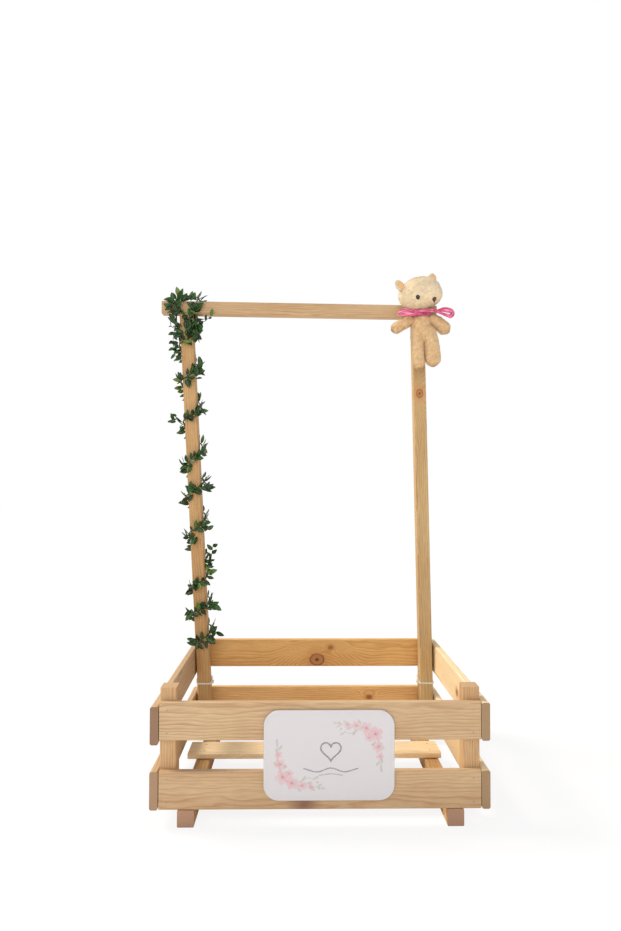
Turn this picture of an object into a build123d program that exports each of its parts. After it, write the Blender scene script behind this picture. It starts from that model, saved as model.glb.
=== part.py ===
from build123d import *
from math import cos, pi, radians, sin
import os

os.makedirs("parts", exist_ok=True)

# All sizes are millimetres. +Z is up, the front faces -Y and the floor is Z = 0.

# Timber sections
lath_height = 45
lath_thickness = 10
lath_edge_radius = 2.5
post_side = 20
runner_side = 20
arch_side = 20.5
plank_width = 45
plank_thickness = 8
plank_edge_radius = 2.5
batten_edge_radius = 1.5

# Crate
basket_width = 385  # over the outer faces of the corner posts
basket_depth = 330  # over the outer faces of the front and back laths
post_length = 141
lath_gap = 36  # open height between a lower and an upper lath
lath_end_gap = 1  # each front and back lath stops this short of the side lath
left_upper_drop = 5  # the left upper lath is nailed lower than the front one
right_upper_drop = 1
back_lower_lift = 3
runner_left_inset = 33  # outer face of a post to the centre line of its runner
runner_right_inset = 31.5
plank_left_gap = 11  # ends of the front and middle planks to the side laths
plank_right_gap = 18
back_plank_gap = 4.5  # each end of the back plank to the side lath
middle_plank_shift = 2
plank_post_gap = 0.5

# Arch
left_leg_height = 655
right_leg_height = 651
left_leg_inset = 7  # foot centre to the centre line of the post behind it
right_leg_inset = 1
left_leg_lean = 37  # both legs lean to the left, measured at their tops
right_leg_lean = 14
rail_left_overhang = 29
rail_right_overhang = 20
rail_edge_radius = 2

# Fasteners
brad_radius = 0.6
brad_length = 26
brad_head_radius = 1.1
brad_head_thickness = 0.6
plank_brad_length = 22
runner_nail_radius = 1
runner_nail_length = 45
rail_nail_radius = 1.5
rail_nail_length = 60
fastener_clearance = 0.05
lath_nail_spread = 27  # between the two nails in a front or back lath end
side_nail_spread = 9  # closer together, so that they pass between the others

# Cable ties
tie_height = 84
tie_width = 2.5
tie_thickness = 1
tie_slack = 0.2
tie_head_side = 4.5
left_tie_tail = 8
right_tie_tail = 20

# Front plaque
plaque_width = 155
plaque_height = 105
plaque_thickness = 3
plaque_corner_radius = 18
plaque_edge_radius = 0.6
plaque_shift = 10
plaque_bottom = 32.5
pad_side = 18
pad_thickness = 1
pad_spacing = 104

# Leaf garland wound up the left leg
stem_radius = 1
stem_bend_radius = 6
stem_edge_gap = 0.3  # between the stem and the edges that it bends over
stem_rise = 16  # what the stem climbs as it crosses the front face
stem_start = 156  # height of the lowest crossing
turn_pitches = [47, 43, 88, 61, 50, 70, 66, 59]
leaf_length = 16
leaf_width = 6.5
leaf_thickness = 0.5
leaf_spacing = 7
leaf_splay = 62  # angle between a leaf and the stem
leaf_lift = 24  # angle between a leaf and the wood
leaf_gap = 0.3
sprig_radius = 0.6
sprig_bend_radius = 15
hanging_sprig_start = 0.25  # share of the way from the leg up to the top of the rail
hanging_sprig_reach = [(-7, -22), (-10, -44), (-3, -69)]
side_sprig_reach = [(9, 17), (12, 40)]

# Plush bear in front of the top of the right leg
bear_shift = -2.5  # middle of the head to the top of the right leg
head_rise = 32  # top of the right leg up to the middle of the head
head_half_width = 36
head_radius = 28
head_roll = 15  # the head leans towards the left leg
head_rail_gap = 1
face_turn = 40  # the face looks this far to the right of straight ahead
left_ear_half_height = 10
right_ear_half_height = 7.5
ear_radius = 6.5
ear_sink = 5
muzzle_half_width = 13
muzzle_radius = 11
muzzle_sink = 10
nose_half_width = 4
nose_radius = 2.6
nose_sink = 1.5
eye_radius = 3
eye_spread = 38  # from the middle of the face to each eye, seen from above
body_shift = 4
body_drop = 25  # top of the right leg down to the middle of the body
body_radius = 18.5
body_half_height = 28
body_back_depth = 15.5
neck_radius = 13.5
left_arm_half_length = 17.5
right_arm_half_length = 16
left_arm_radius = 8
right_arm_radius = 9
left_arm_slope = 27
right_arm_slope = 30
plush_leg_half_length = 26.5
left_plush_leg_radius = 9.2
right_plush_leg_radius = 11.2
limb_sink = 2.5
plush_gap = 0.3
glue_thickness = 2
glue_radius = 5
glue_spread = 14

# Satin ribbon round the bear's neck, with its bow in front
ribbon_thickness = 1
ribbon_width = 6
collar_rise = 20  # body's middle to the lower edge of the collar
knot_half_width = 17.2
knot_depth = 5
left_loop_length = 22.7
left_loop_height = 13
right_loop_length = 34.1
right_loop_height = 20
loop_depth = 9

# Places that follow from the sizes above
square_diagonal = 2**0.5
stem_reach = stem_bend_radius - stem_radius - stem_edge_gap + batten_edge_radius * (square_diagonal - 1)
stem_offset = stem_bend_radius - stem_reach / square_diagonal  # its centre line to each face that it crosses
half_width = basket_width / 2
post_line = half_width - post_side / 2
lower_lath_z = runner_side
upper_lath_z = lower_lath_z + lath_height + lath_gap
plank_top = runner_side + plank_thickness
ribbon_inner = neck_radius + plush_gap
ribbon_outer = ribbon_inner + ribbon_thickness
rail_reach = post_line - left_leg_inset + left_leg_lean + arch_side / 2 + rail_left_overhang
bear_reach = post_line - right_leg_inset - right_leg_lean + bear_shift
bow_reach = bear_reach + body_shift + knot_half_width + plush_gap + right_loop_length
basket_x = (rail_reach - bow_reach) / 2  # centres the whole object on X = 0
front_y = -(basket_depth - plaque_thickness - pad_thickness) / 2
back_y = front_y + basket_depth
middle_y = (front_y + back_y) / 2
front_post_y = front_y + lath_thickness
back_post_y = back_y - lath_thickness - post_side
leg_front_y = back_post_y - arch_side

left_foot_x = basket_x - post_line + left_leg_inset
left_top_x = left_foot_x - left_leg_lean
right_foot_x = basket_x + post_line - right_leg_inset
right_top_x = right_foot_x - right_leg_lean
left_top_z = plank_top + left_leg_height
right_top_z = plank_top + right_leg_height
head_z = right_top_z + head_rise
body_z = right_top_z - body_drop
rail_slope = (right_top_z - left_top_z) / (right_top_x - left_top_x)


def rail_under(x):
    """Height of the rail's underside at x."""
    return left_top_z + rail_slope * (x - left_top_x)


def left_leg_x(z):
    """Centre line of the left leg at height z."""
    return left_foot_x - left_leg_lean * (z - plank_top) / left_leg_height


def right_leg_x(z):
    """Centre line of the right leg at height z."""
    return right_foot_x - right_leg_lean * (z - plank_top) / right_leg_height


pieces = {}


def save(builder, name):
    """Label a finished piece, write it and keep it for its neighbours."""
    builder.part.label = name
    export_step(builder.part, f"parts/{name}.step")
    pieces[name] = builder.part


def batten(name, plane, length, width, thickness, radius, spots, edge_spots=()):
    """A planed strip with its outer face on the plane, bored for nails there and in its lower edge."""
    with BuildPart() as strip:
        with BuildSketch(plane):
            Rectangle(length, width)
        extrude(amount=-thickness)
        fillet(strip.edges().filter_by(Axis((0, 0, 0), plane.x_dir)), radius)
        with Locations(plane):
            with Locations(*spots):
                CounterBoreHole(
                    brad_radius + fastener_clearance,
                    brad_head_radius + fastener_clearance,
                    brad_head_thickness,
                    depth=thickness,
                )
        if edge_spots:
            with Locations(*edge_spots):
                Hole(runner_nail_radius + fastener_clearance, depth=runner_nail_length - runner_side)
    save(strip, name)


def nail(length, radius, head_radius):
    """A nail with its head's outer face at the origin and its point along -Z."""
    with BuildPart() as blank:
        with BuildSketch():
            Circle(head_radius)
        extrude(amount=-brad_head_thickness)
        with BuildSketch(Plane.XY.offset(-brad_head_thickness)):
            Circle(radius)
        extrude(amount=brad_head_thickness - length)
        chamfer(blank.edges().group_by(Axis.Z)[0], radius * 0.7)
    return blank.part


def nail_group(name, one, places):
    """Identical nails as one group of separate solids."""
    with BuildPart() as group:
        with Locations(*places):
            add(one)
    save(group, name)


# Laths: the crate's four sides share one stock and differ in direction, length and nail spots
lath_levels = {
    "front_lower_lath": lower_lath_z,
    "front_upper_lath": upper_lath_z,
    "back_lower_lath": lower_lath_z + back_lower_lift,
    "back_upper_lath": upper_lath_z,
    "left_lower_lath": lower_lath_z,
    "left_upper_lath": upper_lath_z - left_upper_drop,
    "right_lower_lath": lower_lath_z,
    "right_upper_lath": upper_lath_z - right_upper_drop,
}
side_reach = half_width + lath_thickness
lath_length = basket_width - 2 * lath_end_gap
side_nail_reach = basket_depth / 2 - lath_thickness - post_side / 2
crate_sides = {
    "front": ((basket_x, front_y), (1, 0, 0), (0, -1, 0), lath_length, post_line, lath_nail_spread),
    "back": ((basket_x, back_y), (-1, 0, 0), (0, 1, 0), lath_length, post_line, lath_nail_spread),
    "left": (
        (basket_x - side_reach, middle_y), (0, -1, 0), (-1, 0, 0),
        basket_depth, side_nail_reach, side_nail_spread,
    ),
    "right": (
        (basket_x + side_reach, middle_y), (0, 1, 0), (1, 0, 0),
        basket_depth, side_nail_reach, side_nail_spread,
    ),
}
runner_lines = {
    "left": basket_x - half_width + runner_left_inset,
    "right": basket_x + half_width - runner_right_inset,
}
end_lath_lines = {"front": front_y + lath_thickness / 2, "back": back_y - lath_thickness / 2}
lath_nail_places = []
for name, level in lath_levels.items():
    end = name.split("_")[0]
    (x, y), right, out, length, nail_reach, spread = crate_sides[end]
    plane = Plane(origin=(x, y, level + lath_height / 2), x_dir=right, z_dir=out)
    spots = [(s * nail_reach, t * spread / 2) for s in (-1, 1) for t in (-1, 1)]
    edge_spots = []
    if end in end_lath_lines and "lower" in name:
        edge_spots = [
            Plane(origin=(line, end_lath_lines[end], level), x_dir=(1, 0, 0), z_dir=(0, 0, -1))
            for line in runner_lines.values()
        ]
    batten(name, plane, length, lath_height, lath_thickness, lath_edge_radius, spots, edge_spots)
    lath_nail_places += [plane * Pos(*spot) for spot in spots]

# Corner posts, drilled where the lath nails run into them
brad_grip = brad_length - lath_thickness + fastener_clearance
for side, sign in (("left", -1), ("right", 1)):
    for end, post_y in (("front", front_post_y), ("back", back_post_y)):
        post_x = basket_x + sign * post_line
        with BuildPart() as post:
            with BuildSketch(Plane.XY.offset(lower_lath_z)):
                with Locations((post_x, post_y + post_side / 2)):
                    RectangleRounded(post_side, post_side, batten_edge_radius)
            extrude(amount=post_length)
            fillet(post.faces().sort_by(Axis.Z)[-1].edges(), batten_edge_radius / 2)
            for lath, level in lath_levels.items():
                lath_side = lath.split("_")[0]
                if lath_side not in (side, end):
                    continue
                out = Vector(*crate_sides[lath_side][2])
                spread = crate_sides[lath_side][5]
                middle = Vector(post_x, post_y + post_side / 2, level + lath_height / 2)
                with Locations(Plane(origin=middle + out * (post_side / 2), x_dir=(0, 0, 1), z_dir=out)):
                    with Locations((-spread / 2, 0), (spread / 2, 0)):
                        Hole(brad_radius + fastener_clearance, depth=brad_grip)
        save(post, f"{end}_{side}_post")

nail_group("lath_brads", nail(brad_length, brad_radius, brad_head_radius), lath_nail_places)

# Runners, which are also the feet, and the planks that lie on them
plank_x = basket_x + (plank_left_gap - plank_right_gap) / 2
plank_length = basket_width - plank_left_gap - plank_right_gap
plank_rows = {
    "front": (plank_x, front_post_y + post_side + plank_post_gap + plank_width / 2, plank_length),
    "middle": (plank_x, middle_y + middle_plank_shift, plank_length),
    "back": (basket_x, back_post_y - plank_post_gap - plank_width / 2, basket_width - 2 * back_plank_gap),
}
plank_nail_spots = [
    (x, y + shift)
    for x in runner_lines.values()
    for _, y, _ in plank_rows.values()
    for shift in (-plank_width / 4, plank_width / 4)
]
runner_nail_places = []
for side, x in runner_lines.items():
    feet = [
        Plane(origin=(x, y, 0), x_dir=(1, 0, 0), z_dir=(0, 0, -1)) for y in end_lath_lines.values()
    ]
    with BuildPart() as runner:
        with BuildSketch(Plane.XY):
            with Locations((x, middle_y)):
                Rectangle(runner_side, basket_depth)
        extrude(amount=runner_side)
        fillet(runner.edges().filter_by(Axis.Y), batten_edge_radius)
        with Locations(Plane.XY.offset(runner_side)):
            with Locations(*[spot for spot in plank_nail_spots if spot[0] == x]):
                Hole(
                    brad_radius + fastener_clearance,
                    depth=plank_brad_length - plank_thickness + fastener_clearance,
                )
        with Locations(*feet):
            CounterBoreHole(
                runner_nail_radius + fastener_clearance,
                2 * runner_nail_radius + fastener_clearance,
                2 * brad_head_thickness,
                depth=runner_side,
            )
    save(runner, f"{side}_runner")
    runner_nail_places += [foot.offset(-brad_head_thickness) for foot in feet]
nail_group(
    "runner_nails",
    nail(runner_nail_length - 2 * brad_head_thickness, runner_nail_radius, 2 * runner_nail_radius),
    runner_nail_places,
)
for name, (x, y, length) in plank_rows.items():
    spots = [
        (line - x, shift)
        for line in runner_lines.values()
        for shift in (-plank_width / 4, plank_width / 4)
    ]
    batten(
        f"{name}_plank", Plane(origin=(x, y, plank_top)), length, plank_width,
        plank_thickness, plank_edge_radius, spots,
    )
nail_group(
    "plank_brads",
    nail(plank_brad_length, brad_radius, brad_head_radius),
    [Pos(x, y, plank_top) for x, y in plank_nail_spots],
)

# Arch legs, leaning to the left, their tops cut to the slope of the rail
half_arch = arch_side / 2
rail_nail_grip = rail_nail_length - arch_side + fastener_clearance
legs = {"left": (left_foot_x, left_top_x), "right": (right_foot_x, right_top_x)}
for side, (foot_x, top_x) in legs.items():
    with BuildPart() as leg:
        with BuildSketch(Plane(origin=(0, leg_front_y, 0), x_dir=(1, 0, 0), z_dir=(0, -1, 0))):
            with BuildLine():
                Polyline(
                    (foot_x - half_arch, plank_top),
                    (foot_x + half_arch, plank_top),
                    (top_x + half_arch, rail_under(top_x + half_arch)),
                    (top_x - half_arch, rail_under(top_x - half_arch)),
                    close=True,
                )
            make_face()
        extrude(amount=-arch_side)
        fillet(leg.edges().sort_by(Edge.length)[-4:], batten_edge_radius)
        with Locations((top_x, leg_front_y + half_arch, rail_under(top_x))):
            Hole(rail_nail_radius + fastener_clearance, depth=rail_nail_grip)
    save(leg, f"{side}_arch_leg")

# Top rail, resting on both legs
rail_left = left_top_x - half_arch - rail_left_overhang
rail_right = right_top_x + half_arch + rail_right_overhang
rail_direction = Vector(1, 0, rail_slope).normalized()
rail_plane = Plane(
    origin=(rail_left, leg_front_y + half_arch, rail_under(rail_left)),
    x_dir=rail_direction,
    z_dir=Vector(0, 1, 0).cross(rail_direction) * -1,
)
rail_length = (rail_right - rail_left) / rail_direction.X
rail_head_radius = 2 * rail_nail_radius
with BuildPart() as top_rail:
    with BuildSketch(rail_plane):
        Rectangle(rail_length, arch_side, align=(Align.MIN, Align.CENTER))
    extrude(amount=arch_side)
    fillet(top_rail.edges().filter_by(Axis((0, 0, 0), rail_direction)), rail_edge_radius)
    for _, top_x in legs.values():
        with Locations((top_x, leg_front_y + half_arch, rail_under(top_x) + arch_side + brad_head_thickness)):
            CounterBoreHole(
                rail_nail_radius + fastener_clearance,
                rail_head_radius + fastener_clearance,
                2 * brad_head_thickness,
                depth=2 * arch_side,
            )
save(top_rail, "top_rail")
nail_group(
    "rail_nails",
    nail(rail_nail_length - 2 * brad_head_thickness, rail_nail_radius, rail_head_radius),
    [
        Pos(top_x, leg_front_y + half_arch, rail_under(top_x) + arch_side)
        for _, top_x in legs.values()
    ],
)

# Cable ties, each drawn tight round a leg and the post behind it
tie_middle = tie_height + tie_width / 2
for side, leg_x, post_x, inward, tail in (
    ("left", left_leg_x(tie_middle), basket_x - post_line, 1, left_tie_tail),
    ("right", right_leg_x(tie_middle), basket_x + post_line, -1, right_tie_tail),
):
    inner_leg = leg_x + inward * half_arch
    outer_leg = leg_x - inward * half_arch
    inner_post = post_x + inward * post_side / 2
    outer_post = post_x - inward * post_side / 2
    outline = (
        (outer_leg, leg_front_y),
        (inner_leg, leg_front_y),
        (inner_leg, back_post_y),
        (inner_post, back_post_y + post_side),
        (outer_post, back_post_y + post_side),
        (outer_post, back_post_y),
    )
    with BuildSketch(Plane.XY.offset(tie_height)) as bundle:
        with BuildLine():
            Polyline(*outline, close=True)
        make_face()
    with BuildPart() as tie:
        with BuildSketch(Plane.XY.offset(tie_height)):
            add(offset(bundle.sketch, amount=tie_slack + tie_thickness, mode=Mode.PRIVATE))
            add(offset(bundle.sketch, amount=tie_slack, mode=Mode.PRIVATE), mode=Mode.SUBTRACT)
        extrude(amount=tie_width)
        head_x = inner_leg + inward * (tie_slack + tie_head_side / 2)
        with BuildSketch(Plane.XY.offset(tie_height - tie_head_side / 4)):
            with Locations((head_x, leg_front_y + half_arch)):
                Rectangle(tie_head_side, tie_head_side)
        extrude(amount=tie_head_side)
        with BuildSketch(Plane.XY.offset(tie_height + tie_head_side / 2)):
            with Locations((head_x, leg_front_y + half_arch)):
                Rectangle(tie_thickness, tie_width)
        extrude(amount=tail)
    save(tie, f"{side}_cable_tie")

# Plaque across the two front laths, on foam pads
plaque_x = basket_x + plaque_shift
plaque_back_y = front_y - pad_thickness
with BuildPart() as plaque:
    with BuildSketch(Plane(
        origin=(plaque_x, plaque_back_y, plaque_bottom + plaque_height / 2),
        x_dir=(1, 0, 0), z_dir=(0, -1, 0),
    )):
        RectangleRounded(plaque_width, plaque_height, plaque_corner_radius)
    extrude(amount=plaque_thickness)
    fillet(plaque.faces().sort_by(Axis.Y)[0].edges(), plaque_edge_radius)
save(plaque, "front_plaque")
with BuildPart() as pads:
    with BuildSketch(Plane(origin=(plaque_x, front_y, 0), x_dir=(1, 0, 0), z_dir=(0, -1, 0))):
        with Locations(*[
            (s * pad_spacing / 2, level + lath_height / 2)
            for s in (-1, 1)
            for level in (lower_lath_z, upper_lath_z)
        ]):
            Rectangle(pad_side, pad_side)
    extrude(amount=pad_thickness)
save(pads, "plaque_pads")


# Garland: a stem in turns round the leaning leg, then over the rail on both sides of the leg
def beside_leg(z, right, behind):
    """Corner of the stem's route at height z, on the leg's right or left and behind or before it."""
    x = left_leg_x(z) + (half_arch + stem_offset) * (1 if right else -1)
    y = back_post_y + stem_offset if behind else leg_front_y - stem_offset
    return (x, y, z)


def round_rail(x, over, behind):
    """Corner of the stem's route round the rail at x."""
    z = rail_under(x) + (arch_side + stem_offset if over else -stem_offset)
    y = back_post_y + stem_offset if behind else leg_front_y - stem_offset
    return (x, y, z)


route = []
crossing = stem_start
for pitch in turn_pitches:
    climb = pitch - stem_rise
    route += [
        beside_leg(crossing - stem_rise / 2, False, False),
        beside_leg(crossing + stem_rise / 2, True, False),
        beside_leg(crossing + stem_rise / 2 + climb * 0.3, True, True),
        beside_leg(crossing + stem_rise / 2 + climb * 0.68, False, True),
    ]
    crossing += pitch
leg_left_x = left_top_x - half_arch - stem_offset
leg_right_x = left_top_x + half_arch + stem_offset
route += [
    beside_leg(crossing - stem_rise / 2, False, False),
    beside_leg(crossing + stem_rise / 2, True, False),
    beside_leg(crossing + stem_rise / 2 + 7, True, True),
    beside_leg(crossing + stem_rise / 2 + 13, False, True),
    (leg_left_x - 1, leg_front_y - stem_offset, crossing + stem_rise / 2 + 18),
    round_rail(leg_left_x - 3, True, False),
    round_rail(leg_left_x - 1, True, True),
    round_rail(leg_right_x + 1, False, True),
    round_rail(leg_right_x + 2, False, False),
    round_rail(leg_right_x + 7, True, False),
    round_rail(leg_right_x + 10, True, True),
    (leg_right_x + 12, back_post_y + stem_offset, rail_under(leg_right_x) + arch_side / 2),
]
with BuildPart() as garland_stem:
    with BuildLine() as stem_line:
        FilletPolyline(*route, radius=[stem_bend_radius] * (len(route) - 2))
    stem_path = stem_line.wires()[0]
    with BuildSketch(Plane(origin=stem_path @ 0, z_dir=stem_path % 0)):
        Circle(stem_radius)
    sweep(path=stem_path)
save(garland_stem, "garland_stem")
stem_length = stem_path.length
print("garland stem: length", round(stem_length, 1), "radii", stem_bend_radius)
print("volume / (section x length)", round(garland_stem.part.volume / (pi * stem_radius**2 * stem_length), 4))


# Sprigs that leave the stem: one hangs beside the top of the leg, one stands off its right side
def sprig(name, start, reach):
    """A thin shoot from a start point through points given by their reach in x and z from it."""
    points = [start] + [start + Vector(x, -stem_radius, z) for x, z in reach]
    with BuildPart() as shoot:
        with BuildLine() as line:
            FilletPolyline(*points, radius=[sprig_bend_radius] * (len(points) - 2))
        path = line.wires()[0]
        with BuildSketch(Plane(origin=path @ 0, z_dir=path % 0)):
            Circle(sprig_radius)
        sweep(path=path)
    save(shoot, name)
    return path


sprig_gap = stem_radius + sprig_radius + leaf_gap
rail_climb = len(route) - 8  # the corner where the stem starts up to the rail
side_run = 4 * 2 + 1  # four corners to a turn: the third turn's front right corner
hanging_start = Vector(*route[rail_climb]) * (1 - hanging_sprig_start)
hanging_start += Vector(*route[rail_climb + 1]) * hanging_sprig_start + Vector(-sprig_gap, 0, 0)
side_start = (Vector(*route[side_run]) + Vector(*route[side_run + 1])) / 2 + Vector(sprig_gap, 0, 0)
sprig_paths = [
    sprig("hanging_sprig", hanging_start, hanging_sprig_reach),
    sprig("side_sprig", side_start, side_sprig_reach),
]

# Leaves, one to each side of the stem in turn, left out where they would meet the wood
with BuildPart() as leaf_blank:
    with BuildSketch():
        with BuildLine():
            ThreePointArc((0, 0), (leaf_length / 2, leaf_width / 2), (leaf_length, 0))
            ThreePointArc((leaf_length, 0), (leaf_length / 2, -leaf_width / 2), (0, 0))
        make_face()
    extrude(amount=leaf_thickness)


def leaf_place(point, along, outward, side, radius):
    """Where a leaf grows from a stem that runs along, on the side +1 or -1, lifted outward."""
    outward = (outward - along * outward.dot(along)).normalized()
    across = outward.cross(along) * side
    splay, lift = radians(leaf_splay), radians(leaf_lift)
    flat = along * cos(splay) + across * sin(splay)
    tip = flat * cos(lift) + outward * sin(lift)
    up = (outward - tip * outward.dot(tip)).normalized()
    return Plane(origin=point + outward * (radius + leaf_gap), x_dir=tip, z_dir=up).location


def away_from_wood(point):
    """Direction from the leg's or the rail's middle line to a point of the stem."""
    middle = Vector(left_leg_x(point.Z), leg_front_y + half_arch, point.Z)
    if point.Z > left_top_z - 2 * stem_offset:
        middle = Vector(point.X, leg_front_y + half_arch, rail_under(point.X) + half_arch)
    return point - middle


def clear_leaves(places, near):
    """The leaves at these places that keep clear of the named pieces and of each other."""
    near_boxes = [(piece, piece.bounding_box()) for piece in near]
    kept, middles = [], []
    for place in places:
        leaf = leaf_blank.part.moved(place)
        middle = (place * Pos(leaf_length / 2)).position
        others = [other for other, centre in zip(kept, middles) if (centre - middle).length < leaf_length]
        for piece, box in near_boxes:
            beyond = [
                max(low - value, value - high)
                for low, value, high in zip(box.min, middle, box.max)
            ]
            if max(beyond) < leaf_length:
                others.append(piece)
        if all(leaf.distance_to(other) > leaf_gap / 2 for other in others):
            kept.append(leaf)
            middles.append(middle)
    return kept


def save_leaves(name, leaves):
    """Leaves as one group of separate solids."""
    with BuildPart() as group:
        add(leaves)
    save(group, name)


stem_leaf_count = int((stem_length - leaf_length) / leaf_spacing)
stem_spots = [(leaf_length / 2 + i * leaf_spacing) / stem_length for i in range(stem_leaf_count)]
stem_leaves = clear_leaves(
    [
        leaf_place(stem_path @ u, stem_path % u, away_from_wood(stem_path @ u), (-1) ** i, stem_radius)
        for i, u in enumerate(stem_spots)
    ],
    [
        pieces[name]
        for name in (
            "left_arch_leg", "top_rail", "back_left_post", "left_upper_lath", "back_upper_lath",
            "hanging_sprig", "side_sprig",
        )
    ],
)
save_leaves("garland_leaves", stem_leaves)
sprig_places = []
for path in sprig_paths:
    count = int(path.length / leaf_spacing)
    for i in range(1, count + 1):
        u = i / count
        sprig_places.append(
            leaf_place(path @ u, path % u, Vector(0, -1, 0), (-1) ** i, sprig_radius)
        )
sprig_leaves = clear_leaves(sprig_places, [pieces["left_arch_leg"], garland_stem.part, *stem_leaves])
save_leaves("sprig_leaves", sprig_leaves)
print("leaves", len(stem_leaves), "of", stem_leaf_count, "and", len(sprig_leaves), "of", len(sprig_places))


# Plush bear: rounded pieces, each cut off flat just outside the one that it is sewn to
def bolster(place, half_length, radius):
    """A closed solid: a bar with round ends along the X axis of its place."""
    with BuildPart() as blank:
        with BuildSketch(place):
            SlotOverall(2 * half_length, 2 * radius)
            with Locations((0, -radius)):
                Rectangle(2 * half_length, 2 * radius, mode=Mode.SUBTRACT)
        revolve(axis=Axis(place.origin, place.x_dir))
    return blank.part


def seam(place, sizes, toward):
    """Plane just outside the surface of a rounded piece of these half sizes, on the side named."""
    unit = Vector(*toward).normalized()
    point = Vector(*[size * share for size, share in zip(sizes, unit)])
    slope = Vector(*[share / size for size, share in zip(sizes, unit)])
    base = place.from_local_coords(point)
    normal = (place.from_local_coords(point + slope.normalized()) - base).normalized()
    return Plane(origin=base + normal * plush_gap, z_dir=normal)


def sewn(name, seams, along, half_length, radius, sink):
    """A bolster on each seam, its end sunk below the seam by a little and cut off flat there."""
    with BuildPart() as piece:
        for flat in seams:
            straight = half_length - radius
            if flat.z_dir.dot(along) < 0:
                straight = -straight
            middle = flat.origin + along * straight + flat.z_dir * (radius - sink)
            z_dir = along.cross(Vector(0, 1, 0) if abs(along.Y) < 0.9 else Vector(0, 0, 1))
            add(bolster(Plane(origin=middle, x_dir=along, z_dir=z_dir), half_length, radius))
            with BuildSketch(flat):
                Circle(2 * half_length)
            extrude(amount=-sink, mode=Mode.SUBTRACT)
    save(piece, name)
    return middle


bear_x = right_top_x + bear_shift
body_x = bear_x + body_shift
body_back_y = leg_front_y - glue_thickness
bear_y = body_back_y - body_back_depth
head_y = leg_front_y - head_rail_gap - head_radius
roll, turn = radians(head_roll), radians(face_turn)
head_sizes = (head_half_width, head_radius, head_radius)
head_place = Plane(
    origin=(bear_x, head_y, head_z), x_dir=(cos(roll), 0, sin(roll)), z_dir=(-sin(roll), 0, cos(roll))
)
with BuildPart() as bear_head:
    with BuildSketch(head_place):
        Ellipse(head_half_width, head_radius)
        with Locations((0, -head_radius)):
            Rectangle(2 * head_half_width, 2 * head_radius, mode=Mode.SUBTRACT)
    revolve(axis=Axis(head_place.origin, head_place.x_dir))
save(bear_head, "bear_head")
face = Vector(sin(turn), -cos(turn), 0)
sideways = Vector(cos(turn), sin(turn), 0)
for side, toward, half_height in (
    ("left", (-0.75, -0.3, 0.6), left_ear_half_height),
    ("right", (0.8, 0.14, 0.58), right_ear_half_height),
):
    sewn(
        f"bear_{side}_ear", [seam(head_place, head_sizes, toward)],
        head_place.z_dir, half_height, ear_radius, ear_sink,
    )
muzzle_middle = sewn(
    "bear_muzzle", [seam(head_place, head_sizes, (0.46, -0.7, -0.54))],
    sideways, muzzle_half_width, muzzle_radius, muzzle_sink,
)
sewn(
    "bear_nose", [seam(Plane(origin=muzzle_middle), [muzzle_radius] * 3, face * 0.9 + Vector(0, 0, 0.45))],
    sideways, nose_half_width, nose_radius, nose_sink,
)
eye_angles = [turn + sign * radians(eye_spread) for sign in (-1, 1)]
sewn(
    "bear_eyes",
    [seam(head_place, head_sizes, (sin(angle), -cos(angle), -0.1)) for angle in eye_angles],
    face, eye_radius, eye_radius, eye_radius - plush_gap,
)

# Body and neck, turned about one upright line, flat where they are glued to the leg
head_drop = ((head_half_width * sin(roll)) ** 2 + (head_radius * cos(roll)) ** 2) ** 0.5
neck_top = head_z - head_drop - plush_gap
with BuildPart() as bear_body:
    with BuildSketch(Plane(origin=(body_x, bear_y, body_z), x_dir=(1, 0, 0), z_dir=(0, -1, 0))):
        Ellipse(body_radius, body_half_height)
        Rectangle(2 * neck_radius, neck_top - body_z, align=(Align.CENTER, Align.MIN))
        Rectangle(2 * body_radius, 4 * body_half_height, align=(Align.MAX, Align.CENTER), mode=Mode.SUBTRACT)
    revolve(axis=Axis((body_x, bear_y, body_z), (0, 0, 1)))
    split(bisect_by=Plane(origin=(0, body_back_y, 0), z_dir=(0, 1, 0)), keep=Keep.BOTTOM)
save(bear_body, "bear_body")
body_place = Plane(origin=(body_x, bear_y, body_z))
body_sizes = (body_radius, body_radius, body_half_height)
for side, toward, slope, half_length, radius in (
    ("left", (-0.95, 0, 0.32), 180 + left_arm_slope, left_arm_half_length, left_arm_radius),
    ("right", (0.95, 0, 0.32), -right_arm_slope, right_arm_half_length, right_arm_radius),
):
    sewn(
        f"bear_{side}_arm", [seam(body_place, body_sizes, toward)],
        Vector(cos(radians(slope)), 0, sin(radians(slope))), half_length, radius, limb_sink,
    )
for side, toward, radius in (
    ("left", (-0.25, -0.75, -0.6), left_plush_leg_radius),
    ("right", (0.65, -0.6, -0.47), right_plush_leg_radius),
):
    sewn(
        f"bear_{side}_leg", [seam(body_place, body_sizes, toward)],
        Vector(0, 0, -1), plush_leg_half_length, radius, limb_sink,
    )
with BuildPart() as glue:
    for rise in (-glue_spread / 2, glue_spread / 2):
        with BuildSketch(Plane(
            origin=(right_leg_x(body_z + rise), leg_front_y, body_z + rise),
            x_dir=(1, 0, 0), z_dir=(0, -1, 0),
        )):
            Circle(glue_radius)
        extrude(amount=glue_thickness)
save(glue, "bear_glue")

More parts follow.
